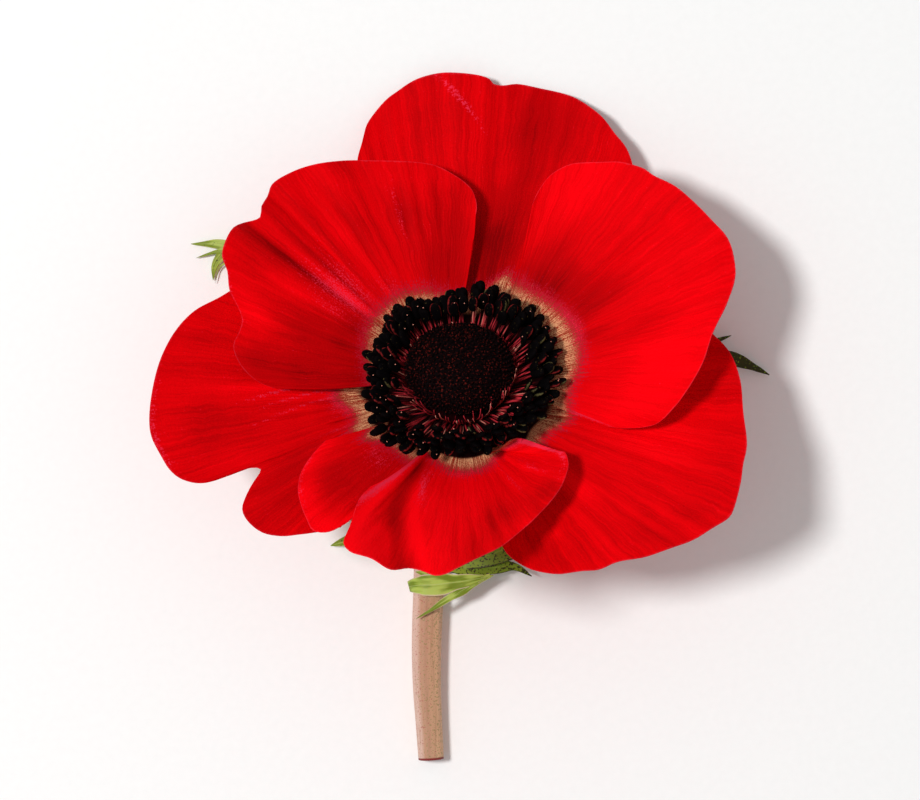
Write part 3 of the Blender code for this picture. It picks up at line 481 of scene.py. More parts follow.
def turns(count):
    """The angles that part a full turn into equal steps."""
    return 2 * math.pi * np.arange(count) / count


print("a loft of 3 rings of 8 points has", len(quads_between(*np.zeros((2, 2, 8)))) + 2, "faces")

# %% [markdown]
# Colours are written as the sRGB hex values that a picture shows. Blender mixes light in linear
# values, so one function turns a hex value to linear. Node trees are built with one small function
# too. Colour is laid on in coats, as a painter does: each coat covers what lies under it where some
# pattern is strong enough. Brushing an image could do this too, but coats follow the real veins.


# %% Colours, nodes and coats
def linear(hex_colour):
    """An sRGB hex colour as linear red, green, blue and alpha."""
    channels = [int(hex_colour[start:start + 2], 16) / 255 for start in (0, 2, 4)]
    return [c / 12.92 if c <= 0.04045 else ((c + 0.055) / 1.055) ** 2.4 for c in channels] + [1.0]


def add(tree, kind, *values, out=None, **more):
    """Adds a node and returns an output, the first one if none is named. Values go to its inputs in
    turn or by name, and each is a number, a hex colour or an output to link. Small letters mean a
    setting of the node."""
    node = tree.nodes.new("ShaderNode" + kind)
    for name in [name for name in more if name.islower()]:
        setattr(node, name, more.pop(name))
    pairs = list(zip([socket for socket in node.inputs if socket.enabled], values))
    pairs += [(node.inputs[name], value) for name, value in more.items()]
    for socket, value in pairs:
        if isinstance(value, bpy.types.NodeSocket):
            tree.links.new(value, socket)
        else:
            socket.default_value = linear(value) if isinstance(value, str) else value
    return node.outputs[out] if out else next(socket for socket in node.outputs if socket.enabled)


def stirred(tree, pattern, *shares):
    """A pattern with shares of others stirred in, each a pattern and how much of it."""
    for other, share in shares:
        pattern = add(tree, "Math", other, share, pattern, operation="MULTIPLY_ADD")
    return pattern


def painted(tree, colour, coats):
    """A colour with coats over it: the coat's colour, its pattern, the pattern's values where the
    coat starts and where it is full, and how well it covers at most."""
    for coat, pattern, start, full, *most in coats:
        cover = add(tree, "MapRange", pattern, start, full, 0.0, *(most or [1.0]),
                    interpolation_type="SMOOTHSTEP")
        colour = add(tree, "Mix", cover, colour, coat, data_type="RGBA")
    return colour


def read_note(tree, name="grain"):
    """The note that each point of a piece carries, whole and in its three parts."""
    note = add(tree, "Attribute", attribute_name=name, out="Vector")
    return note, *add(tree, "SeparateXYZ", note).node.outputs


def new_finish(name, roughness, ior, specular):
    """A material with a Principled shader, and its node tree."""
    material = bpy.data.materials.new(name)
    material.use_nodes = True
    inputs = material.node_tree.nodes["Principled BSDF"].inputs
    for key, value in (("Roughness", roughness), ("IOR", ior), ("Specular IOR Level", specular)):
        inputs[key].default_value = value
    return material, material.node_tree


def finished(material, colour, height=None, strength=0.0, depth=0.0):
    """The material with its colour and, where a height is given, bumps of a depth in millimetres."""
    tree = material.node_tree
    shader = tree.nodes["Principled BSDF"]
    tree.links.new(colour, shader.inputs["Base Color"])
    if height is not None:
        bump = add(tree, "Bump", Height=height, Strength=strength, Distance=depth * MM)
        tree.links.new(bump, shader.inputs["Normal"])
    return material


print("middle grey in linear light:", round(linear("808080")[0], 3))

# %% [markdown]
# A petal is a living sheet: two skins of bulging cells with soft tissue and air between them. The
# pigment sits in the skin, so the red is deep and the gloss is faint and broad. Its index of
# refraction is about 1.4, as for any wet tissue. The colour runs along the veins in fine streaks about
# a millimetre apart and fades to cream at the foot. Painted shade makes the foot nearly black under
# the stamens, and a painted highlight makes the margin's rim paler, where its edge catches the light.
# The red carries painted shade and painted light too, deeper where the petal turns from the lamp and
# brighter where it faces it, and a painted pink sheen where crests and edges catch the light. The
# streaks are noise that is pulled long along the veins, because a wave pattern would look too even,
# and a second, coarse noise makes them waver. Clouds in the red are about 6 mm wide and pores half a
# millimetre. The cells themselves are too fine to show, so their grain is drawn as dots a quarter of
# a millimetre wide.

# %% Petal skin
CREAM_REACH, STAMEN_SHADE_REACH = 15.2, 12.6
STREAKS_PER_MM = ((0.9, 0.05, 3.0), (3.0, 0.15, 2.0))
SWAYS_PER_MM, SWAY_REACH = 0.3, (1.4, 3.0, 0.0)
PORES_PER_MM, CLOUDS_PER_MM, DOTS_PER_MM = 2.2, 0.16, 4.0


def petal_skin():
    """Pigmented petal skin, streaked along its veins, with painted light, shade, sheen and highlight.
    """
    material, tree = new_finish("petal_skin", roughness=0.62, ior=1.4, specular=0.025)
    grain, _, _, reach = read_note(tree)
    _, painted_shading_tone, way, painted_sheen = read_note(tree, "shade")
    sway = add(tree, "TexNoise", Vector=grain, Scale=SWAYS_PER_MM, Detail=2.0, out="Color")
    wavering = add(tree, "VectorMath", sway, SWAY_REACH, grain, operation="MULTIPLY_ADD")
    wide, fine = (add(tree, "TexNoise", Scale=1.0, Detail=detail, Roughness=0.6, Vector=add(
        tree, "VectorMath", wavering, (across, along, 0.0), operation="MULTIPLY"))
        for across, along, detail in STREAKS_PER_MM)
    pores = add(tree, "TexNoise", Vector=grain, Scale=PORES_PER_MM, Detail=3.0)
    cloud = add(tree, "TexNoise", Vector=grain, Scale=CLOUDS_PER_MM, Detail=2.0)
    dots = add(tree, "TexNoise", Vector=grain, Scale=DOTS_PER_MM, Detail=1.0)
    # Level: painted light and shade from the petal's painted shading, with real streaks, clouds and
    # grain.
    level = stirred(tree, painted_shading_tone, (dots, 0.25), (wide, 0.7), (fine, 0.5), (cloud, 0.3))
    streaked = stirred(tree, reach, (fine, 5.0), (dots, 5.0))
    cream = painted(tree, "A03020", [("F0B080", stirred(tree, fine, (dots, 0.6)), 0.72, 0.9)])
    colour = painted(tree, "840003", [
        # Three brighter reds over the deep one, by the level of painted light and shade and the
        # streaks, then the painted pink sheen.
        ("BC0005", level, 0.05, 0.55),
        ("E20007", level, 0.5, 0.95),
        ("FF000C", level, 0.85, 1.3),
        ("EC2E4C", stirred(tree, painted_sheen, (fine, 0.8), (dots, 1.3)), 1.38, 1.72, 0.8),
        # The foot: a rose edge, cream, and painted shade, nearly black, under the stamens. Last, a
        # painted highlight, paler pink, on the margin's rim.
        ("C41830", streaked, CREAM_REACH + 6.3, CREAM_REACH + 5.7),
        (cream, streaked, CREAM_REACH + 5.3, CREAM_REACH + 4.9),
        ("1C0507", reach, STAMEN_SHADE_REACH + 0.6, STAMEN_SHADE_REACH - 0.6),
        ("E84A62", stirred(tree, way, (pores, 0.012)), 1.0, 1.006, 0.2)])
    bumps = stirred(tree, pores, (fine, 1.6))
    return finished(material, colour, bumps, strength=0.45, depth=0.16)


PETAL_SKIN = petal_skin()
print("petal skin:", len(PETAL_SKIN.node_tree.nodes), "nodes")

# %% [markdown]
# Now the seven petals can be made. Each carries two notes for its skin: its grain, which is the way
# across, the way along and the distance from the bloom's axis in millimetres, and its shade, which is
# its painted light and shade, the way out and its painted pink sheen. The skin could be painted on
# each petal by itself, but with the notes one material serves them all.

# %% Build the petals
PETAL_THICK, MARGIN_THICK = 0.26, 0.12
THINNING = 6
VEIN_LENGTH = 30.0
GRAIN_APART = 50.0
CREAM_FROM, CREAM_FADE = 10.0, 1.6


def patches(place, t, rows):
    """The sum of soft patches on a petal."""
    return sum((amount * stripe(place, t, centre, spread, *shift) * hump(t, way, length)
                for centre, way, spread, length, amount, *shift in rows), np.zeros_like(place))


def make_petal(name, index):
    """One petal in its skin."""
    points, place, t, reach, width = petal_fan(name, random.Random(100 + index))
    thick = PETAL_THICK + (MARGIN_THICK - PETAL_THICK) * t ** THINNING
    petal = new_piece("red_" + name, name, *sheet_shell(points, thick))
    petal.data.set_sharp_from_angle(angle=math.radians(60.0))
    for centre, spread, amount in PETALS[name]["ring"]:
        fade = np.clip((reach - CREAM_FROM) / CREAM_FADE, 0.0, 1.0)
        reach = reach - amount * stripe(place, t, centre, spread) * fade
    painted_shading_tone, painted_sheen = (patches(place, t, PETALS[name][kind]) for kind in ("painted_shading", "painted_sheen"))
    for note, values in (("grain", (place * width + GRAIN_APART * index, t * VEIN_LENGTH, reach)),
                         ("shade", (painted_shading_tone, t, painted_sheen))):
        keep_note(petal, note, np.tile(np.stack(values, axis=-1), (2, 1, 1)))
    petal.data.materials.append(PETAL_SKIN)
    print(petal.name, len(place), "veins, margin", round(width, 1), "mm")


for number, petal_name in enumerate(PETALS):
    make_petal(petal_name, number)

# %% [markdown]
# The black centre is not one smooth dome. It is a head of some hundreds of carpels, each with a short
# dark style that ends in a blunt tip, packed in spirals like the seeds of a daisy. A displaced sphere
# would look like leather, so each style is a small shape of its own, set by the golden angle, on a
# dome that fills what lies between them.

# %% Carpel head
DOME_RADIUS, DOME_DEPTH = 7.05, 0.91
DOME_SHIFT = (-0.35, 0.4)
DOME_WIDEST, DOME_TOP = 5.2, 8.2
DOME_STALK_RADIUS, DOME_NECK, DOME_FOOT = 3.5, 1.6, 0.25
HEAD_NECK_AT = 0.8
NECK_ROUNDING, FOOT_ROUNDING = 1.2, 0.3
DOME_SEGMENTS, DOME_RINGS = 72, 40
STYLE_COUNT, STYLE_RADIUS, STYLE_HEIGHT = 620, 0.24, 0.34
STYLE_SPREAD, STYLE_DROP, STYLE_STRAY = 1.08, 9.6, 0.22
STYLE_SIZES, STYLE_LENGTHS = (0.8, 1.15), (0.8, 1.4)
GOLDEN_ANGLE = math.pi * (3.0 - math.sqrt(5.0))
BEAD_PROFILE = ((-0.6, 0.9), (0.2, 1.0), (0.65, 0.8), (0.92, 0.42))
BEAD_SIDES = 6
ASKEW = (0.3, 0.5, 0.81)


def head_profile(z):
    """Radius and height of the head where a unit ball has this z: a dome on a short stalk."""
    if z >= 0.0:
        radius = DOME_RADIUS * math.sqrt(max(0.0, 1.0 - z * z))
        return radius, DOME_WIDEST + (DOME_TOP - DOME_WIDEST) * z
    below = -z / HEAD_NECK_AT
    if below <= 1.0:
        rounding = (1.0 - below ** 2) ** NECK_ROUNDING
        radius = DOME_STALK_RADIUS + (DOME_RADIUS - DOME_STALK_RADIUS) * rounding
        return radius, DOME_WIDEST + (DOME_NECK - DOME_WIDEST) * below
    share = (-z - HEAD_NECK_AT) / (1.0 - HEAD_NECK_AT)
    radius = DOME_STALK_RADIUS * min(1.0, (1.0 - share) / FOOT_ROUNDING)
    drop = (DOME_FOOT - DOME_NECK) * share / (1.0 - FOOT_ROUNDING)
    return radius, max(DOME_FOOT, DOME_NECK + drop)


def head_point(radius, turn, height):
    """A point of the head, which is a little shorter than it is wide and not quite in the middle."""
    return np.array((radius * math.cos(turn) + DOME_SHIFT[0],
                     DOME_DEPTH * radius * math.sin(turn) + DOME_SHIFT[1], height))


def add_bead(skin, centre, axis, radius, length, note=(0.0, 0.0, 0.0)):
    """Adds a small blunt cone with a round tip, standing on centre along axis."""
    points, faces, notes = skin
    centre, axis = bloom_to_world(*centre), bloom_to_world(*axis)
    axis = axis / np.linalg.norm(axis)
    side = np.cross(axis, ASKEW)
    side /= np.linalg.norm(side)
    other = np.cross(axis, side)
    number = len(points) + np.arange(len(BEAD_PROFILE) * BEAD_SIDES).reshape(-1, BEAD_SIDES)
    for share, width in BEAD_PROFILE:
        for turn in turns(BEAD_SIDES):
            points.append(centre + axis * length * share
                          + radius * width * (side * math.cos(turn) + other * math.sin(turn)))
    faces.extend(quads_between(number[:-1], number[1:]))
    for ring, share in ((number[-1], 1.0), (number[0, ::-1], BEAD_PROFILE[0][0])):
        pairs = zip(ring.tolist(), np.roll(ring, -1).tolist())
        faces.extend((here, after, len(points)) for here, after in pairs)
        points.append(centre + axis * length * share)
    notes.extend([note] * (number.size + 2))


def make_carpel_head():
    """The dome and the styles that stand on it, as one piece."""
    chance = random.Random(21)
    skin = ([], [], [])
    rings = []
    for ring in range(DOME_RINGS - 1, 0, -1):
        radius, height = head_profile(math.cos(math.pi * ring / DOME_RINGS))
        rings.append([bloom_to_world(*head_point(radius, turn, height))
                      for turn in turns(DOME_SEGMENTS)])
    add_loft(skin, rings)
    for index in range(STYLE_COUNT):
        z = 1.0 - STYLE_SPREAD * (index + 0.5) / STYLE_COUNT
        level, turn = max(z, 0.0), GOLDEN_ANGLE * index
        radius, height = head_profile(level)
        centre = head_point(radius, turn, height + STYLE_DROP * min(z, 0.0))
        normal = spoke(turn, math.sqrt(1 - level ** 2) / DOME_RADIUS, level / (DOME_TOP - DOME_WIDEST))
        normal = normal / np.linalg.norm(normal)
        normal += [chance.uniform(-STYLE_STRAY, STYLE_STRAY) for _ in range(3)]
        size = chance.uniform(*STYLE_SIZES)
        add_bead(skin, centre, normal, STYLE_RADIUS * size,
                 STYLE_HEIGHT * size * chance.uniform(*STYLE_LENGTHS))
    print("carpels:", STYLE_COUNT, "on a dome", 2 * DOME_RADIUS, "mm wide")
    return new_piece("carpel_dome", "carpel_head", *skin[:2])


carpel_dome = make_carpel_head()

# %% [markdown]
# Carpels and anthers are near black: a very dark violet pigment over velvet-like cells. They throw
# back almost nothing but a broad dull sheen, so the roughness is high. Here and there the black thins
# and lets a dark red or an olive tint through, as specks a few tenths of a millimetre wide. Along its
# sides, where an anther splits to let out its pollen, a seam may show in red or olive, which its note
# marks. A black cloth finish would do from afar, but it would lack the specks and seams.

# %% Velvet black of the centre
SPECK_FADE, PATCH_SCALE = 0.12, 0.2


def velvet_black(name, base, speck, speck_from, speck_size, seams=()):
    """Velvety black with specks of a size in millimetres, and tints for two kinds of seam."""
    material, tree = new_finish(name, roughness=0.75, ior=1.4, specular=0.05)
    spot = add(tree, "TexCoord", out="Object")
    noise = add(tree, "TexNoise", Vector=spot, Scale=1.0 / (speck_size * MM), Detail=2.0)
    bare = add(tree, "TexNoise", Vector=spot, Scale=PATCH_SCALE / (speck_size * MM), Detail=1.0)
    _, brim, *kinds = read_note(tree)
    brim = stirred(tree, brim, (noise, 1.0))
    coats = [(speck, noise, speck_from, speck_from + SPECK_FADE), (base, bare, 0.45, 0.6, 0.6)]
    coats += [(tint, brim, 1.1, 1.5, kind) for tint, kind in zip(seams, kinds)]
    return finished(material, painted(tree, base, coats), noise, strength=0.4, depth=0.08)


carpel_dome.data.materials.append(velvet_black("carpel_velvet", "080203", "5E1812", 0.57, 0.28))
print(carpel_dome.name, len(carpel_dome.data.polygons), "faces")

# %% [markdown]
# Round the dome stands a crowded ring of stamens, six rows deep. A stamen is a thread, the filament,
# that carries a two-lobed pollen case, the anther. Each could be a curve with a round bevel, but an
# anther is broader than it is thick and has a groove down its middle, so its rings are built with
# that outline. The rows lean further out the further out they stand, the ring as a whole bulges here
# and draws in there, and every stamen strays a little from its place. Some carry a grain of pollen.
# A row is its number of stamens, distance from the axis, height and lean. A bend of the ring is its
# direction, half angle and how far it bulges.

# %% Stamens: where they stand, and their anthers
STAMEN_ROWS = [(26, 9.5, 6.4, 24.0), (31, 10.3, 6.2, 33.0), (35, 11.0, 5.9, 42.0),
               (38, 11.6, 5.5, 50.0), (40, 12.2, 5.0, 58.0), (42, 12.6, 4.5, 66.0)]
STRAY = {"angle": 2.2, "reach": 0.35, "height": 0.4, "lean": 12.0, "swing": 9.0, "spin": 38.0}
RING_BENDS = [(105, 17, -1.8), (80, 9, 0.4), (62, 8, -0.4), (151, 8, -1.2), (182, 14, -0.6),
              (224, 14, 1.5), (268, 20, -1.7), (303, 18, -1.8), (321, 8, -1.0), (340, 8, -0.7)]
BENDS_FROM, BENDS_OVER = 7.6, 5.0
FRONT_SHIFT = 0.5
ANTHER_LENGTH, ANTHER_WIDTH, ANTHER_DEPTH = 2.5, 0.70, 0.46
ANTHER_OUTLINE = [(0.0, 0.3), (0.06, 0.62), (0.18, 0.92), (0.38, 1.0), (0.6, 1.0), (0.8, 0.9),
                  (0.93, 0.66), (1.0, 0.3)]
ANTHER_SIDES, THREAD_SIDES = 12, 6
GROOVE_DEPTH, GROOVE_WIDTH = 0.4, 0.12
ANTHER_SIZES = (0.88, 1.1)
REDDISH_SHARE, OLIVE_SHARE, OLIVE_RIGHT = 0.3, 0.02, 0.2
POLLEN_SHARE, POLLEN_AT, POLLEN_RADIUS, POLLEN_LENGTH = 0.3, (-0.2, 1.2), 0.07, 0.09
POLLEN_NOTE = (0.5, 0.85, 0.0)
UP = np.array((0.0, 0.0, 1.0))


def ring_of(centre, side, thick, count, width, depth, groove=0.0):
    """A closed ring of points round centre, with a groove on the front and the back."""
    cos, sin = np.cos(turns(count)), np.sin(turns(count))
    pinch = 1.0 - groove * hump(np.abs(sin), 1.0, GROOVE_WIDTH)
    ring = centre[:, None] + side[:, None] * width * cos + thick[:, None] * depth * pinch * sin
    return bloom_to_world(*ring).T


def stand_of(row, index, chance):
    """Where a stamen stands: its turn round the axis, centre, and directions out and along."""
    count, row_radius, row_height, row_lean = STAMEN_ROWS[row]
    stray = {what: chance.uniform(-most, most) for what, most in STRAY.items()}
    angle = 360.0 * (index + 0.5 * (row % 2)) / count + stray["angle"]
    reach = row_radius + stray["reach"]
    for bend_angle, half_angle, depth in RING_BENDS:
        away = (angle - bend_angle + 180.0) % 360.0 - 180.0
        reach += depth * hump(away, 0.0, half_angle) * (row_radius - BENDS_FROM) / BENDS_OVER
    turn = math.radians(angle)
    reach += FRONT_SHIFT * max(0.0, -math.sin(turn)) * (1.0 - row / (len(STAMEN_ROWS) - 1))
    tip = math.radians(row_lean + stray["lean"])
    outward = spoke(turn + math.radians(stray["swing"]))
    along = outward * math.sin(tip) + UP * math.cos(tip)
    return (turn, spoke(turn, reach, row_height + stray["height"]), outward, along,
            math.radians(stray["spin"]))


def add_anther(cases, base, along, side, size, turn, tint):
    """Adds a pollen case. Some are reddish, and a few, mostly on the right, are olive."""
    thick = np.cross(along, side)
    rings = [ring_of(base + along * ANTHER_LENGTH * size * share, side, thick, ANTHER_SIDES,
                     ANTHER_WIDTH * size * width, ANTHER_DEPTH * size * width, GROOVE_DEPTH)
             for share, width in ANTHER_OUTLINE]
    rightness = (0.5 + 0.5 * math.cos(turn)) ** 2
    reddish, olive = tint < REDDISH_SHARE, tint > 1.0 - OLIVE_SHARE - OLIVE_RIGHT * rightness
    brim = np.abs(np.cos(turns(ANTHER_SIDES))) ** 3
    add_loft(cases, rings, np.stack((brim, 0 * brim + reddish, 0 * brim + olive), axis=-1))


print("an anther is", ANTHER_LENGTH, "mm long and", 2 * ANTHER_WIDTH, "mm wide")

# %% [markdown]
# The filaments rise from a low rim under the dome and bend out to their anthers. A row of shorter ones,
# without anthers, lies against the foot of the dome, and at the front they lap up over it. Every
# filament could be a Bezier curve object with a bevel, but as lofts they all share one mesh and each
# keeps its own strength of colour in its note. The rim is a ring of flesh that also closes the view
# down between the petals' feet.

# %% Filaments and their rim
# A thread's strength of pink; the strongest carry a pale painted highlight.
LONG_THREAD = {"rings": 9, "radii": (0.11875, 0.07125), "ways": (0.0, 1.0), "pinks_and_highlights": (0.16, 0.88)}
LONG_FOOT, FOOT_STRAY, KNEE_AT, KNEE_IN, KNEE_STRAY = (5.3, 0.8), 4.0, 0.65, 0.3, (-0.5, 0.1)
THREAD_IN_ANTHER = 0.3
SHORT_THREADS = 120
SHORT_THREAD = {"rings": 5, "radii": (0.09, 0.05), "ways": (0.3, 0.6), "pinks_and_highlights": (0.12, 0.88)}
SHORT_FOOT, SHORT_BOW, SHORT_TURN, SHORT_BEND = (5.4, 1.0), 1.6, 0.3, 0.13
SHORT_TIP_HEIGHT, SHORT_TIP_SINK, SHORT_REACH = 5.4, 0.5, (0.35, 1.35)
THREAD_LAP = {"angle": -38.0, "half_angle": 30.0, "reach": 0.9, "height": 1.2}
RIM_PROFILE = [(4.4, 0.3), (6.6, 0.35), (8.8, 1.15), (8.8, 1.3), (6.2, 1.2), (4.4, 1.3)]
RIM_SIDES = 48


def add_thread(threads, spots, side, thick, kind, pink):
    """Adds a thin round thread that bends from its foot past a knee to its tip."""
    foot, knee, tip = spots
    steps = np.linspace(0.0, 1.0, kind["rings"])
    rings = [ring_of((1 - s) ** 2 * foot + 2 * s * (1 - s) * knee + s * s * tip, side, thick,
                     THREAD_SIDES, radius, radius)
             for s, radius in zip(steps, np.interp(steps, (0, 1), kind["radii"]))]
    ways = np.interp(steps, (0, 1), kind["ways"])
    add_loft(threads, rings, [[(way, pink, 0.0)] for way in ways])


def add_filament(threads, foot_turn, base, outward, along, chance):
    """Adds the thread from the rim up into an anther."""
    foot, tangent = spoke(foot_turn, *LONG_FOOT), np.cross(UP, outward)
    knee = (1 - KNEE_AT) * foot + KNEE_AT * base + UP * chance.uniform(*KNEE_STRAY) - outward * KNEE_IN
    add_thread(threads, (foot, knee, base + along * THREAD_IN_ANTHER), tangent,
               np.cross(tangent, along), LONG_THREAD, chance.uniform(*LONG_THREAD["pinks_and_highlights"]))


def add_short_thread(threads, index, chance, tints):
    """Adds one of the threads that lie against the foot of the dome."""
    turn = 2 * math.pi * (index + chance.uniform(-SHORT_TURN, SHORT_TURN)) / SHORT_THREADS
    lap = hump(math.degrees(math.remainder(turn, 2 * math.pi)), THREAD_LAP["angle"],
               THREAD_LAP["half_angle"])
    reach = chance.uniform(*SHORT_REACH) - THREAD_LAP["reach"] * lap
    bent = turn + tints.uniform(-SHORT_BEND, SHORT_BEND)
    height = SHORT_TIP_HEIGHT - SHORT_TIP_SINK * reach + THREAD_LAP["height"] * lap
    foot, tip = spoke(turn, *SHORT_FOOT), head_point(DOME_RADIUS, bent, height) + spoke(bent, reach)
    outward = spoke(turn)
    knee = 0.5 * (foot + tip + SHORT_BOW * outward)
    add_thread(threads, (foot, knee, tip), np.cross(UP, outward), outward, SHORT_THREAD,
               chance.uniform(*SHORT_THREAD["pinks_and_highlights"]))


def make_stamens():
    """All the threads as one piece and all the pollen cases as another."""
    chance, tints = random.Random(11), random.Random(12)
    threads, cases = ([], [], []), ([], [], [])
    for row, index in [(row, index) for row, (count, *_) in enumerate(STAMEN_ROWS)
                       for index in range(count)]:
        turn, centre, outward, along, spin = stand_of(row, index, chance)
        tangent = np.cross(UP, outward)
        side = tangent * math.cos(spin) + np.cross(along, tangent) * math.sin(spin)
        size = chance.uniform(*ANTHER_SIZES)
        base = centre - along * 0.5 * ANTHER_LENGTH * size
        add_anther(cases, base, along, side, size, turn, tints.random())
        if tints.random() < POLLEN_SHARE:
            thick = np.cross(along, side)
            crumb = centre + along * tints.uniform(*POLLEN_AT) + thick * ANTHER_DEPTH * size
            add_bead(threads, crumb, thick, POLLEN_RADIUS, POLLEN_LENGTH, POLLEN_NOTE)
        foot_turn = turn + math.radians(chance.uniform(-FOOT_STRAY, FOOT_STRAY))
        add_filament(threads, foot_turn, base, outward, along, chance)
    for index in range(SHORT_THREADS):
        add_short_thread(threads, index, chance, tints)
    add_loft(threads, [[bloom_to_world(*spoke(turn, *corner)) for turn in turns(RIM_SIDES)]
                       for corner in RIM_PROFILE], closed=True)
    return new_piece("filaments", "stamens", *threads), new_piece("anthers", "stamens", *cases)


filaments, anthers = make_stamens()
print("stamens:", sum(row[0] for row in STAMEN_ROWS), "and", SHORT_THREADS, "short threads")

# %% [markdown]
# The filaments are pink along their middle, and the strongest carry a pale painted highlight. Painted
# shade turns them near black at the foot, under the dome, and where they enter the anther, under the
# anthers. They are wet, so they have a little more gloss than the petals. Each could have a material
# of its own, but its strength of pink and highlight is stored with its points instead, together with
# the way along it, so that one will do.


# %% Filament skin
def filament_skin():
    """Wet pink skin, the strongest with a painted highlight, and painted shade near black at both ends.
    """
    material, tree = new_finish("filament_skin", roughness=0.6, ior=1.4, specular=0.08)
    _, way, strength, _ = read_note(tree)
    colour = painted(tree, "4C080C", [
        ("D03440", strength, 0.2, 0.7),
        # A pale painted highlight on the strongest threads.
        ("F0A890", strength, 0.72, 0.9),
        # Painted shade, near black, at the foot under the dome and near the anther under the anthers.
        ("240408", way, 0.42, 0.2),
        ("240406", way, 0.64, 0.88)])
    return finished(material, colour)


filaments.data.materials.append(filament_skin())
anthers.data.materials.append(velvet_black("anther_velvet", "040203", "5A4A26", 0.66, 0.35,
                                           seams=("7A2020", "565030")))
print("threads and anthers:", len(filaments.data.polygons), "and", len(anthers.data.polygons), "faces")

# %% [markdown]
# The stem is a round fleshy stalk, a little over 4 mm thick, that swells into the receptacle under the
# petals. A curve with a round bevel would do for its path, but real stalks carry shallow ribs, so its
# rings are built here. Its end is cut across with a knife: a ring of flesh stands a little out round
# the sunken pith. A point of its path is a place as the eye sees it, its height above the table and
# the radius there.

# %% Stem
STEM_RADIUS, RECEPTACLE_RADIUS = 2.1, 5.0
COLLAR = [(-0.1, RECEPTACLE_RADIUS - 0.3), (-0.4, RECEPTACLE_RADIUS), (-2.1, RECEPTACLE_RADIUS),
          (-2.7, 4.3), (-3.2, 3.0), (-3.9, 2.3), (-5.0, STEM_RADIUS)]
STEM_PATH = [
    (-1.0, -6.3, 7.2, 2.1), (-2.2, -10.6, 4.2, 2.1), (-3.4, -16.0, 2.5, 2.1),
    (-4.3, -22.0, 2.1, 2.1), (-4.6, -28.5, 2.1, 2.1), (-4.8, -34.5, 2.05, 2.05),
    (-4.75, -40.0, 1.95, 1.95), (-4.5, -44.6, 1.84, 1.84), (-4.17, -49.8, 1.76, 1.76)]
CUT_END = ((0.94, -0.04), (0.8, 0.0), (0.62, 0.1), (0.4, 0.16), (0.15, 0.18))
STEM_STEP, STEM_SIDES = 0.7, 72
RIB_COUNT, RIB_DEPTH = 11, 0.022


def seen_point(seen_x, seen_y, height):
    """The world point that the eye sees here, from a height above the table."""
    above_centre = height - BLOOM_CENTRE[2]
    return np.array((*seen_to_world((seen_x, seen_y), above_centre), above_centre))


def frames_along(line):
    """Unit side and up directions for each point of a line that never runs straight up for long."""
    ahead = np.gradient(line, axis=0)
    ahead /= np.linalg.norm(ahead, axis=1)[:, None]
    side = np.cross(ahead, (1.0, 0.0, 0.0))
    side /= np.linalg.norm(side, axis=1)[:, None]
    return side, np.cross(ahead, side)


def make_stem():
    """The receptacle, the stalk with its ribs and the cut end, as one loft."""
    collar = [(*bloom_to_world(0.0, 0.0, height), radius) for height, radius in COLLAR]
    stalk = [(*seen_point(*spot), radius) for *spot, radius in STEM_PATH]
    rows = np.concatenate((collar[:-1], smooth_line(collar[-1:] + stalk, STEM_STEP)))
    line, turn = rows[:, :3], turns(STEM_SIDES)
    side, other = (way[:, None] for way in frames_along(line))
    waver = 0.4 * np.sin(0.13 * np.arange(len(rows)))[:, None]
    radius = rows[:, 3:] * (1.0 - RIB_DEPTH * (0.5 + 0.5 * np.cos(RIB_COUNT * turn + waver)))
    spokes = side * np.cos(turn)[:, None] + other * np.sin(turn)[:, None]
    rings = list(line[:, None] + radius[..., None] * spokes)
    end, centre = rings[-1], line[-1]
    inward = (line[-2] - centre) / np.linalg.norm(line[-2] - centre)
    rings += [centre + share * (end - centre) + dip * inward for share, dip in CUT_END]
    skin = ([], [], [])
    cut = 1.0 * (np.arange(len(rings)) >= len(rows) - 1)
    # The note: how far round towards the lit side, for the skin's painted light, and whether on the
    # cut.
    add_loft(skin, rings, np.stack(np.broadcast_arrays(np.sin(turn), cut[:, None], 0.0), axis=-1))
    print("stem:", len(rows), "rings,", STEM_SIDES, "sides")
    return new_piece("stem_stalk", "stem", *skin)


stem_stalk = make_stem()

# %% [markdown]
# Its skin is a smooth waxy cuticle, index about 1.45, over pale flesh. The red pigment of the bloom
# runs down it, so it is a pinkish tan with fine lines along its length, half a millimetre apart, and a
# few faint green and red specks. The cut flesh is dark red. One colour would make it look like wire.
# Its left side, which faces the lamp, is painted paler as a highlight, and its shaded right side a
# lighter tan as painted light. The stem's note says how far round it a point is, towards the lit side,
# and whether it lies on the cut.

# %% Stem skin
STEM_LINES = (2.2 / MM, 0.10 / MM, 2.2 / MM)
STEM_SPECKS = 3.6 / MM


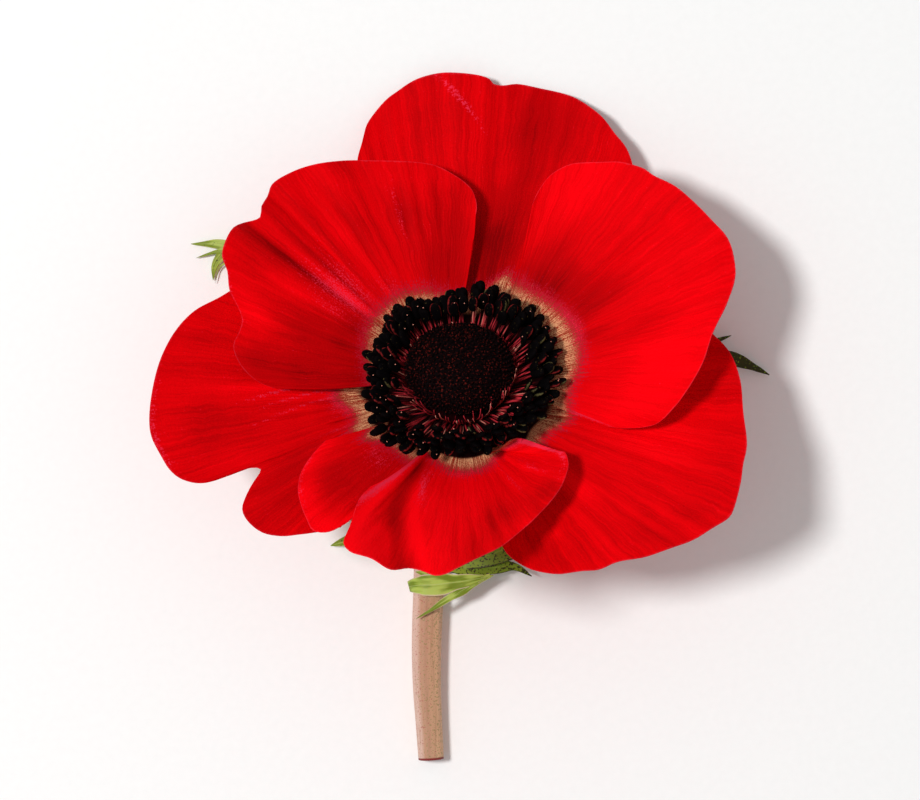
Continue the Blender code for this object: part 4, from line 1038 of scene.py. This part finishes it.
def stem_skin():
    """Waxy lined skin with painted highlight and painted light on its sides, and open flesh on the cut.
    """
    material, tree = new_finish("stem_cuticle", roughness=0.5, ior=1.45, specular=0.25)
    spot = add(tree, "TexCoord", out="Object")
    pulled = add(tree, "VectorMath", spot, STEM_LINES, operation="MULTIPLY")
    lines = add(tree, "TexNoise", Vector=pulled, Scale=1.0, Detail=3.0)
    specks = add(tree, "TexNoise", Vector=spot, Scale=STEM_SPECKS, Detail=1.0)
    _, towards_lit_side, cut, _ = read_note(tree)
    speckled = stirred(tree, specks, (towards_lit_side, -0.06))
    colour = painted(tree, "B88C70", [
        # Painted light on the shaded right side, then a painted highlight on the lit left side.
        ("DCB08A", towards_lit_side, 0.1, -0.8),
        ("D4B2A2", stirred(tree, towards_lit_side, (lines, 0.4)), 0.54, 0.96),
        ("A87C60", lines, 0.5, 0.7, 0.4),
        ("7A7A3A", speckled, 0.61, 0.65, 0.5),
        ("98403A", speckled, 0.34, 0.29, 0.5),
        ("8A3430", cut, 0.45, 0.7)])
    return finished(material, colour, lines, strength=0.25, depth=0.06)


stem_stalk.data.materials.append(stem_skin())
print("stem skin on", len(stem_stalk.data.polygons), "faces")

# %% [markdown]
# Under the bloom sits a collar of three leaves, each cut almost to its rib into narrow lobes. Every
# lobe is a lance-shaped blade with a keel along its midrib and a few small teeth. It could be a flat
# cut-out that is bent afterwards, but a loft along the rib gives the keel and the bend at once. The
# blades of one leaf grow together, so they are joined with a Boolean union and not just laid into each
# other. A lobe is its half width and the points of its rib, as the eye sees them, with their height
# above the table.

# %% Collar leaves
LEAF_LOBES = {
    "bract_left": [
        (2.4, [(-7.2, -22.6, 2.4), (-11.6, -18.8, 2.9), (-19.2, -9.8, 3.8), (-25.4, 1.0, 3.6),
               (-28.6, 10.0, 2.6), (-29.4, 16.0, 1.4), (-28.0, 20.6, 0.5)]),
        (0.95, [(-28.6, 16.8, 1.9), (-31.6, 19.2, 1.25), (-36.5, 19.5, 0.4)]),
        (0.36, [(-30.0, 18.9, 1.7), (-32.8, 18.5, 1.2), (-35.8, 17.6, 0.6)]),
        (0.72, [(-31.0, 18.6, 1.4), (-32.4, 17.9, 1.1), (-33.3, 16.4, 0.8), (-33.5, 14.6, 0.42)]),
        (0.13, [(-30.0, 17.6, 1.6), (-32.6, 16.4, 1.0), (-33.2, 14.2, 0.45)]),
        (1.5, [(-9.8, -18.6, 2.7), (-13.6, -19.8, 2.2), (-17.7, -21.1, 1.2)]),
        (1.3, [(-16.2, -14.2, 3.5), (-22.6, -13.4, 2.8), (-27.6, -9.4, 1.2)]),
        (1.2, [(-22.0, -5.8, 3.7), (-29.0, -4.0, 2.6), (-33.4, 2.0, 1.0)]),
        (1.0, [(-26.8, 4.0, 3.3), (-31.4, 6.8, 2.2), (-33.4, 9.8, 0.9)]),
        (1.3, [(-18.8, -10.4, 3.7), (-19.2, -3.4, 2.8), (-21.6, 4.0, 1.2)]),
        (1.2, [(-24.8, 0.2, 3.6), (-23.2, 7.6, 2.6), (-24.2, 14.0, 1.0)]),
    ],
    "bract_right": [
        (2.6, [(-1.7, -23.2, 2.9), (4.0, -22.2, 3.8), (12.0, -17.8, 4.3), (22.0, -8.0, 4.1),
               (29.0, 1.0, 3.0), (33.6, 4.6, 1.8), (41.3, 1.9, 0.4)]),
        (0.85, [(29.5, 1.6, 2.8), (33.2, 5.9, 1.8), (36.2, 7.2, 0.9)]),
        (1.0, [(33.6, 5.1, 1.9), (36.6, 4.0, 1.4), (38.8, 3.1, 1.0), (41.3, 1.9, 0.4)]),
        (1.4, [(-3.4, -23.6, 3.3), (0.6, -23.9, 3.3), (4.2, -24.0, 3.1), (7.0, -23.9, 2.9),
               (9.35, -25.2, 2.4)]),
        (1.3, [(9.0, -20.0, 4.1), (16.0, -18.8, 3.4), (21.6, -15.6, 1.6)]),
        (1.3, [(17.0, -13.2, 4.2), (25.0, -11.6, 3.2), (31.0, -7.0, 1.4)]),
        (1.2, [(13.0, -17.0, 4.2), (15.2, -9.0, 3.3), (19.6, -2.6, 1.6)]),
        (1.1, [(23.6, -6.2, 3.9), (25.0, 1.6, 2.8), (28.0, 8.0, 1.2)]),
    ],
    "bract_front": [
        (1.65, [(-7.2, -26.6, 3.0), (-6.6, -26.5, 4.1), (-5.6, -26.4, 4.9), (-4.0, -26.35, 5.2),
                (-2.4, -26.2, 5.2), (-0.9, -26.0, 5.2), (1.1, -25.7, 5.2), (3.0, -25.35, 5.2),
                (4.2, -25.1, 5.2)]),
        (0.5, [(-4.4, -25.4, 5.05), (-5.4, -24.8, 4.85), (-6.3, -24.6, 4.5)]),
        (0.68, [(3.77, -25.1, 5.2), (2.15, -25.8, 5.2), (0.0, -27.1, 5.1), (-2.29, -28.45, 5.1),
                (-4.3, -29.8, 5.1), (-6.19, -30.9, 5.1)]),
    ],
}
LEAF_THICK, LEAF_EDGE = 0.5, 0.14
LEAF_KEEL, KEEL_ROUNDING = 0.22, 1.3
RIB_STEP, LEAF_STEP, LEAF_ROWS_MIN, LEAF_COLUMNS = 0.3, 0.45, 12, 11
LEAF_FOOT_WIDTH, LEAF_WIDEST_AT, LEAF_TIP_WIDTH, TAPER_POWER = 0.45, 0.35, 0.035, 0.8
TEETH_DEPTH, TEETH_PER_MM, TEETH_FROM = 0.06, 1.9, 0.2
RIPPLE_HEIGHT, RIPPLES_PER_MM, RIPPLE_LAG = 0.05, 2.2, 3.0
COLLAR_SPOT = (-4.6, -26.0, 2.1)
DRY_LEAF, DRY_FROM, DRY_FADE, DRY_TIP_FROM = "bract_right", 32.0, 8.0, 0.8


def dryness(node, middle, shares):
    """How far a blade has dried at each point of its rib: one leaf has, far out and at its tips."""
    if node != DRY_LEAF:
        return 0.0 * shares
    away = np.linalg.norm(middle - seen_point(*COLLAR_SPOT), axis=1)
    at_tip = 0.9 * np.clip((shares - DRY_TIP_FROM) / (1.0 - DRY_TIP_FROM), 0.0, 1.0)
    return np.maximum(np.clip((away - DRY_FROM) / DRY_FADE, 0.0, 1.0), at_tip)


def make_lobe(name, half_width, rib, node, chance):
    """One lance-shaped blade: a closed skin that is thick at the rib and thin at its margins."""
    line = smooth_line([seen_point(*point) for point in rib], RIB_STEP)
    share, length = walked_share(line)
    shares = np.linspace(0.0, 1.0, max(LEAF_ROWS_MIN, round(length / LEAF_STEP)) + 1)
    middle = np.stack([np.interp(shares, share, line[:, axis]) for axis in range(3)], axis=-1)
    ahead = np.gradient(middle, axis=0)
    ahead[:, 2] = 0.0
    ahead /= np.linalg.norm(ahead, axis=1)[:, None]
    side = np.stack((-ahead[:, 1], ahead[:, 0], 0 * ahead[:, 0]), axis=-1)
    widening = LEAF_FOOT_WIDTH + (1.0 - LEAF_FOOT_WIDTH) * np.minimum(1.0, shares / LEAF_WIDEST_AT)
    past_widest = np.maximum(0.0, shares - LEAF_WIDEST_AT) / (1.0 - LEAF_WIDEST_AT)
    taper = widening * np.maximum(0.0, 1.0 - past_widest) ** TAPER_POWER
    start = chance.uniform(0.0, 6.0)
    teeth = 1.0 + TEETH_DEPTH * np.sin(length * TEETH_PER_MM * shares + start) * (shares > TEETH_FROM)
    width = half_width * np.maximum(LEAF_TIP_WIDTH, taper * teeth)[:, None]
    thick = np.minimum(LEAF_THICK, LEAF_EDGE + 0.6 * width)
    columns = 2.0 * np.arange(LEAF_COLUMNS) / (LEAF_COLUMNS - 1) - 1.0
    across = np.concatenate((columns, columns[::-1]))
    face = np.repeat((1.0, -1.0), LEAF_COLUMNS)
    out = np.abs(across)
    along = (shares * length)[:, None]
    ripple = RIPPLE_HEIGHT * np.sin(RIPPLES_PER_MM * along + RIPPLE_LAG * out) * out
    half = 0.5 * (LEAF_EDGE + (thick - LEAF_EDGE) * (1.0 - out ** 2))
    rings = middle[:, None] + side[:, None] * (width * across)[..., None]
    rings[..., 2] += LEAF_KEEL * width * out ** KEEL_ROUNDING + ripple + face * half
    notes = np.broadcast_arrays(across, along, dryness(node, middle, shares)[:, None])
    skin = ([], [], [])
    add_loft(skin, rings, np.stack(notes, axis=-1))
    points, faces, kept = skin
    return new_piece(name, node, points, [corners[::-1] for corners in faces], kept)


def join_blades(blades):
    """One Boolean union of a leaf's blades; what is left is a plain mesh without modifiers."""
    helpers = bpy.data.collections.new("blades")
    for blade in blades[1:]:
        bpy.context.scene.collection.objects.unlink(blade)
        helpers.objects.link(blade)
    bpy.context.scene.collection.children.link(helpers)
    union = blades[0].modifiers.new("Join", "BOOLEAN")
    union.operation = "UNION"
    union.operand_type = "COLLECTION"
    union.collection = helpers
    union.solver = "MANIFOLD"
    depsgraph = bpy.context.evaluated_depsgraph_get()
    mesh = bpy.data.meshes.new_from_object(blades[0].evaluated_get(depsgraph))
    blades[0].modifiers.clear()
    blades[0].data = mesh
    for blade in blades[1:]:
        bpy.data.objects.remove(blade)
    bpy.data.collections.remove(helpers)
    mesh.shade_smooth()
    mesh.set_sharp_from_angle(angle=math.radians(50.0))
    return blades[0]


print("lobes:", {node: len(lobes) for node, lobes in LEAF_LOBES.items()})

# %% [markdown]
# Leaf skin is waxy, index about 1.45, with side veins that run slanting out from a paler midrib. The
# upper side is a fresh yellow green with dark dots, and the right leaf has dried to brown at its tips.
# One function makes the skin for all three leaves, each with its own greens: light green, deep green,
# midrib, margin, and how readily the dark dots come. The right leaf's greens are darker as painted
# shade, for the shadow of the petals over it.

# %% Leaf skin
LEAF_COLOURS = {
    "bract_left": ("A8BC54", "76891A", "B8C880", "B8A878", 0.0),
    # Darker greens here: painted shade.
    "bract_right": ("829A28", "6C8420", "93A348", "2A1A0E", 0.1),
    "bract_front": ("A8BE54", "6E841A", "B8C87C", "D0BCA0", -0.1),
}
LEAF_VEINS = (2.0, 0.22, 0.0)
LEAF_DOTS, LEAF_CLOUDS = 3.0 / MM, 0.35 / MM


def leaf_skin(name, light, deep, rib, margin, dotted):
    """Waxy leaf skin with a midrib, side veins, dark dots and a dry margin."""
    material, tree = new_finish(name, roughness=0.5, ior=1.45, specular=0.2)
    grain, across, _, dry = read_note(tree)
    out = add(tree, "Math", across, operation="ABSOLUTE")
    slanted = add(tree, "VectorMath", grain, LEAF_VEINS, operation="MULTIPLY")
    veins = add(tree, "TexNoise", Vector=slanted, Scale=1.0, Detail=3.0)
    spot = add(tree, "TexCoord", out="Object")
    dots, cloud = (add(tree, "TexNoise", Vector=spot, Scale=scale, Detail=1.0)
                   for scale in (LEAF_DOTS, LEAF_CLOUDS))
    colour = painted(tree, deep, [
        (light, stirred(tree, veins, (cloud, 1.0)), 0.85, 1.15),
        (rib, out, 0.08, 0.0, 0.5),
        ("26180C", stirred(tree, dots, (dry, 0.22)), 0.66 - dotted, 0.72 - dotted, 0.9),
        (margin, out, 0.84, 0.98, 0.85)])
    return finished(material, colour, veins, strength=0.3, depth=0.1)


for node_name, lobes in LEAF_LOBES.items():
    leaf_chance = random.Random(len(node_name))
    side_name = node_name.removeprefix("bract_")
    leaf = join_blades([make_lobe("collar_leaf_" + side_name, width, rib, node_name, leaf_chance)
                        for width, rib in lobes])
    leaf.data.materials.clear()
    leaf.data.materials.append(leaf_skin("leaf_cuticle_" + side_name, *LEAF_COLOURS[node_name]))
    print(leaf.name, len(leaf.data.polygons), "faces")

# %% [markdown]
# The flower lies on a plain pale table. A real one is a large sheet with a slight tooth, so the floor
# is one big square with a faint grain in its colour, a millimetre wide. A flat colour would do as well
# from afar, but near the shadows it would look like no real surface.

# %% Floor
FLOOR_HALF_SIZE = 1.5
TOOTH_SCALE = 0.9 / MM


def make_floor():
    """A large pale sheet on the level where the flower lies."""
    mesh = bpy.data.meshes.new("table_top")
    sheet = bmesh.new()
    bmesh.ops.create_grid(sheet, x_segments=8, y_segments=8, size=FLOOR_HALF_SIZE)
    sheet.to_mesh(mesh)
    sheet.free()
    floor = bpy.data.objects.new("table_top", mesh)
    bpy.context.scene.collection.objects.link(floor)
    material, tree = new_finish("pale_paper", roughness=0.8, ior=1.5, specular=0.2)
    spot = add(tree, "TexCoord", out="Object")
    tooth = add(tree, "TexNoise", Vector=spot, Scale=TOOTH_SCALE, Detail=2.0)
    colour = add(tree, "Mix", tooth, "F8F8F7", "FDFDFC", data_type="RGBA")
    floor.data.materials.append(finished(material, colour))


make_floor()
print("floor:", 2 * FLOOR_HALF_SIZE, "m wide")

# %% [markdown]
# The light comes from the left, about 26 degrees off the line of sight, and its shadows have soft edges
# a millimetre or two wide. A sun would make them as hard all over, so one large lamp does that, and an
# even pale sky fills the shadows. The picture is shown with the plain Standard transform, because the
# filmic ones would wash out so pure a red.

# %% Light
KEY_DISTANCE, KEY_SIZE, KEY_POWER = 1.2, 0.20, 9.5
KEY_DIRECTION = np.array((-0.47, 0.10, 1.0))
SKY_STRENGTH = 0.42


def make_light():
    """One large round lamp and an even sky."""
    lamp = bpy.data.lights.new("key", "AREA")
    lamp.shape = "DISK"
    lamp.size = KEY_SIZE
    lamp.energy = KEY_POWER
    key = bpy.data.objects.new("key", lamp)
    away = KEY_DIRECTION / np.linalg.norm(KEY_DIRECTION)
    key.location = away * KEY_DISTANCE
    key.rotation_mode = "QUATERNION"
    key.rotation_quaternion = Vector(away).to_track_quat("Z", "Y")
    bpy.context.scene.collection.objects.link(key)
    world = bpy.data.worlds.new("studio")
    world.use_nodes = True
    sky = world.node_tree.nodes["Background"]
    sky.inputs["Color"].default_value = linear("FFFFFF")
    sky.inputs["Strength"].default_value = SKY_STRENGTH
    bpy.context.scene.world = world
    bpy.context.scene.view_settings.view_transform = "Standard"
    return away


print("lamp off the line of sight:", round(math.degrees(math.acos(make_light()[2]))), "degrees")

# %% [markdown]
# The camera looks straight down, so that the table is the wall behind the flower, from 550 mm above
# the bloom's centre. The picture is 920 pixels wide and 0.1345 mm falls on each, which gives the lens.

# %% Camera
MM_PER_PIXEL, PICTURE_WIDTH = 0.1345, 920
SENSOR = 36.0
camera_data = bpy.data.cameras.new("camera")
camera_data.sensor_width = SENSOR
camera_data.lens = SENSOR * EYE_DISTANCE / (PICTURE_WIDTH * MM_PER_PIXEL)
camera = bpy.data.objects.new("camera", camera_data)
camera.location = (BLOOM_CENTRE + (*EYE, EYE_DISTANCE)) * MM
bpy.context.scene.collection.objects.link(camera)
bpy.context.scene.camera = camera
print("lens:", round(camera_data.lens, 1), "mm")
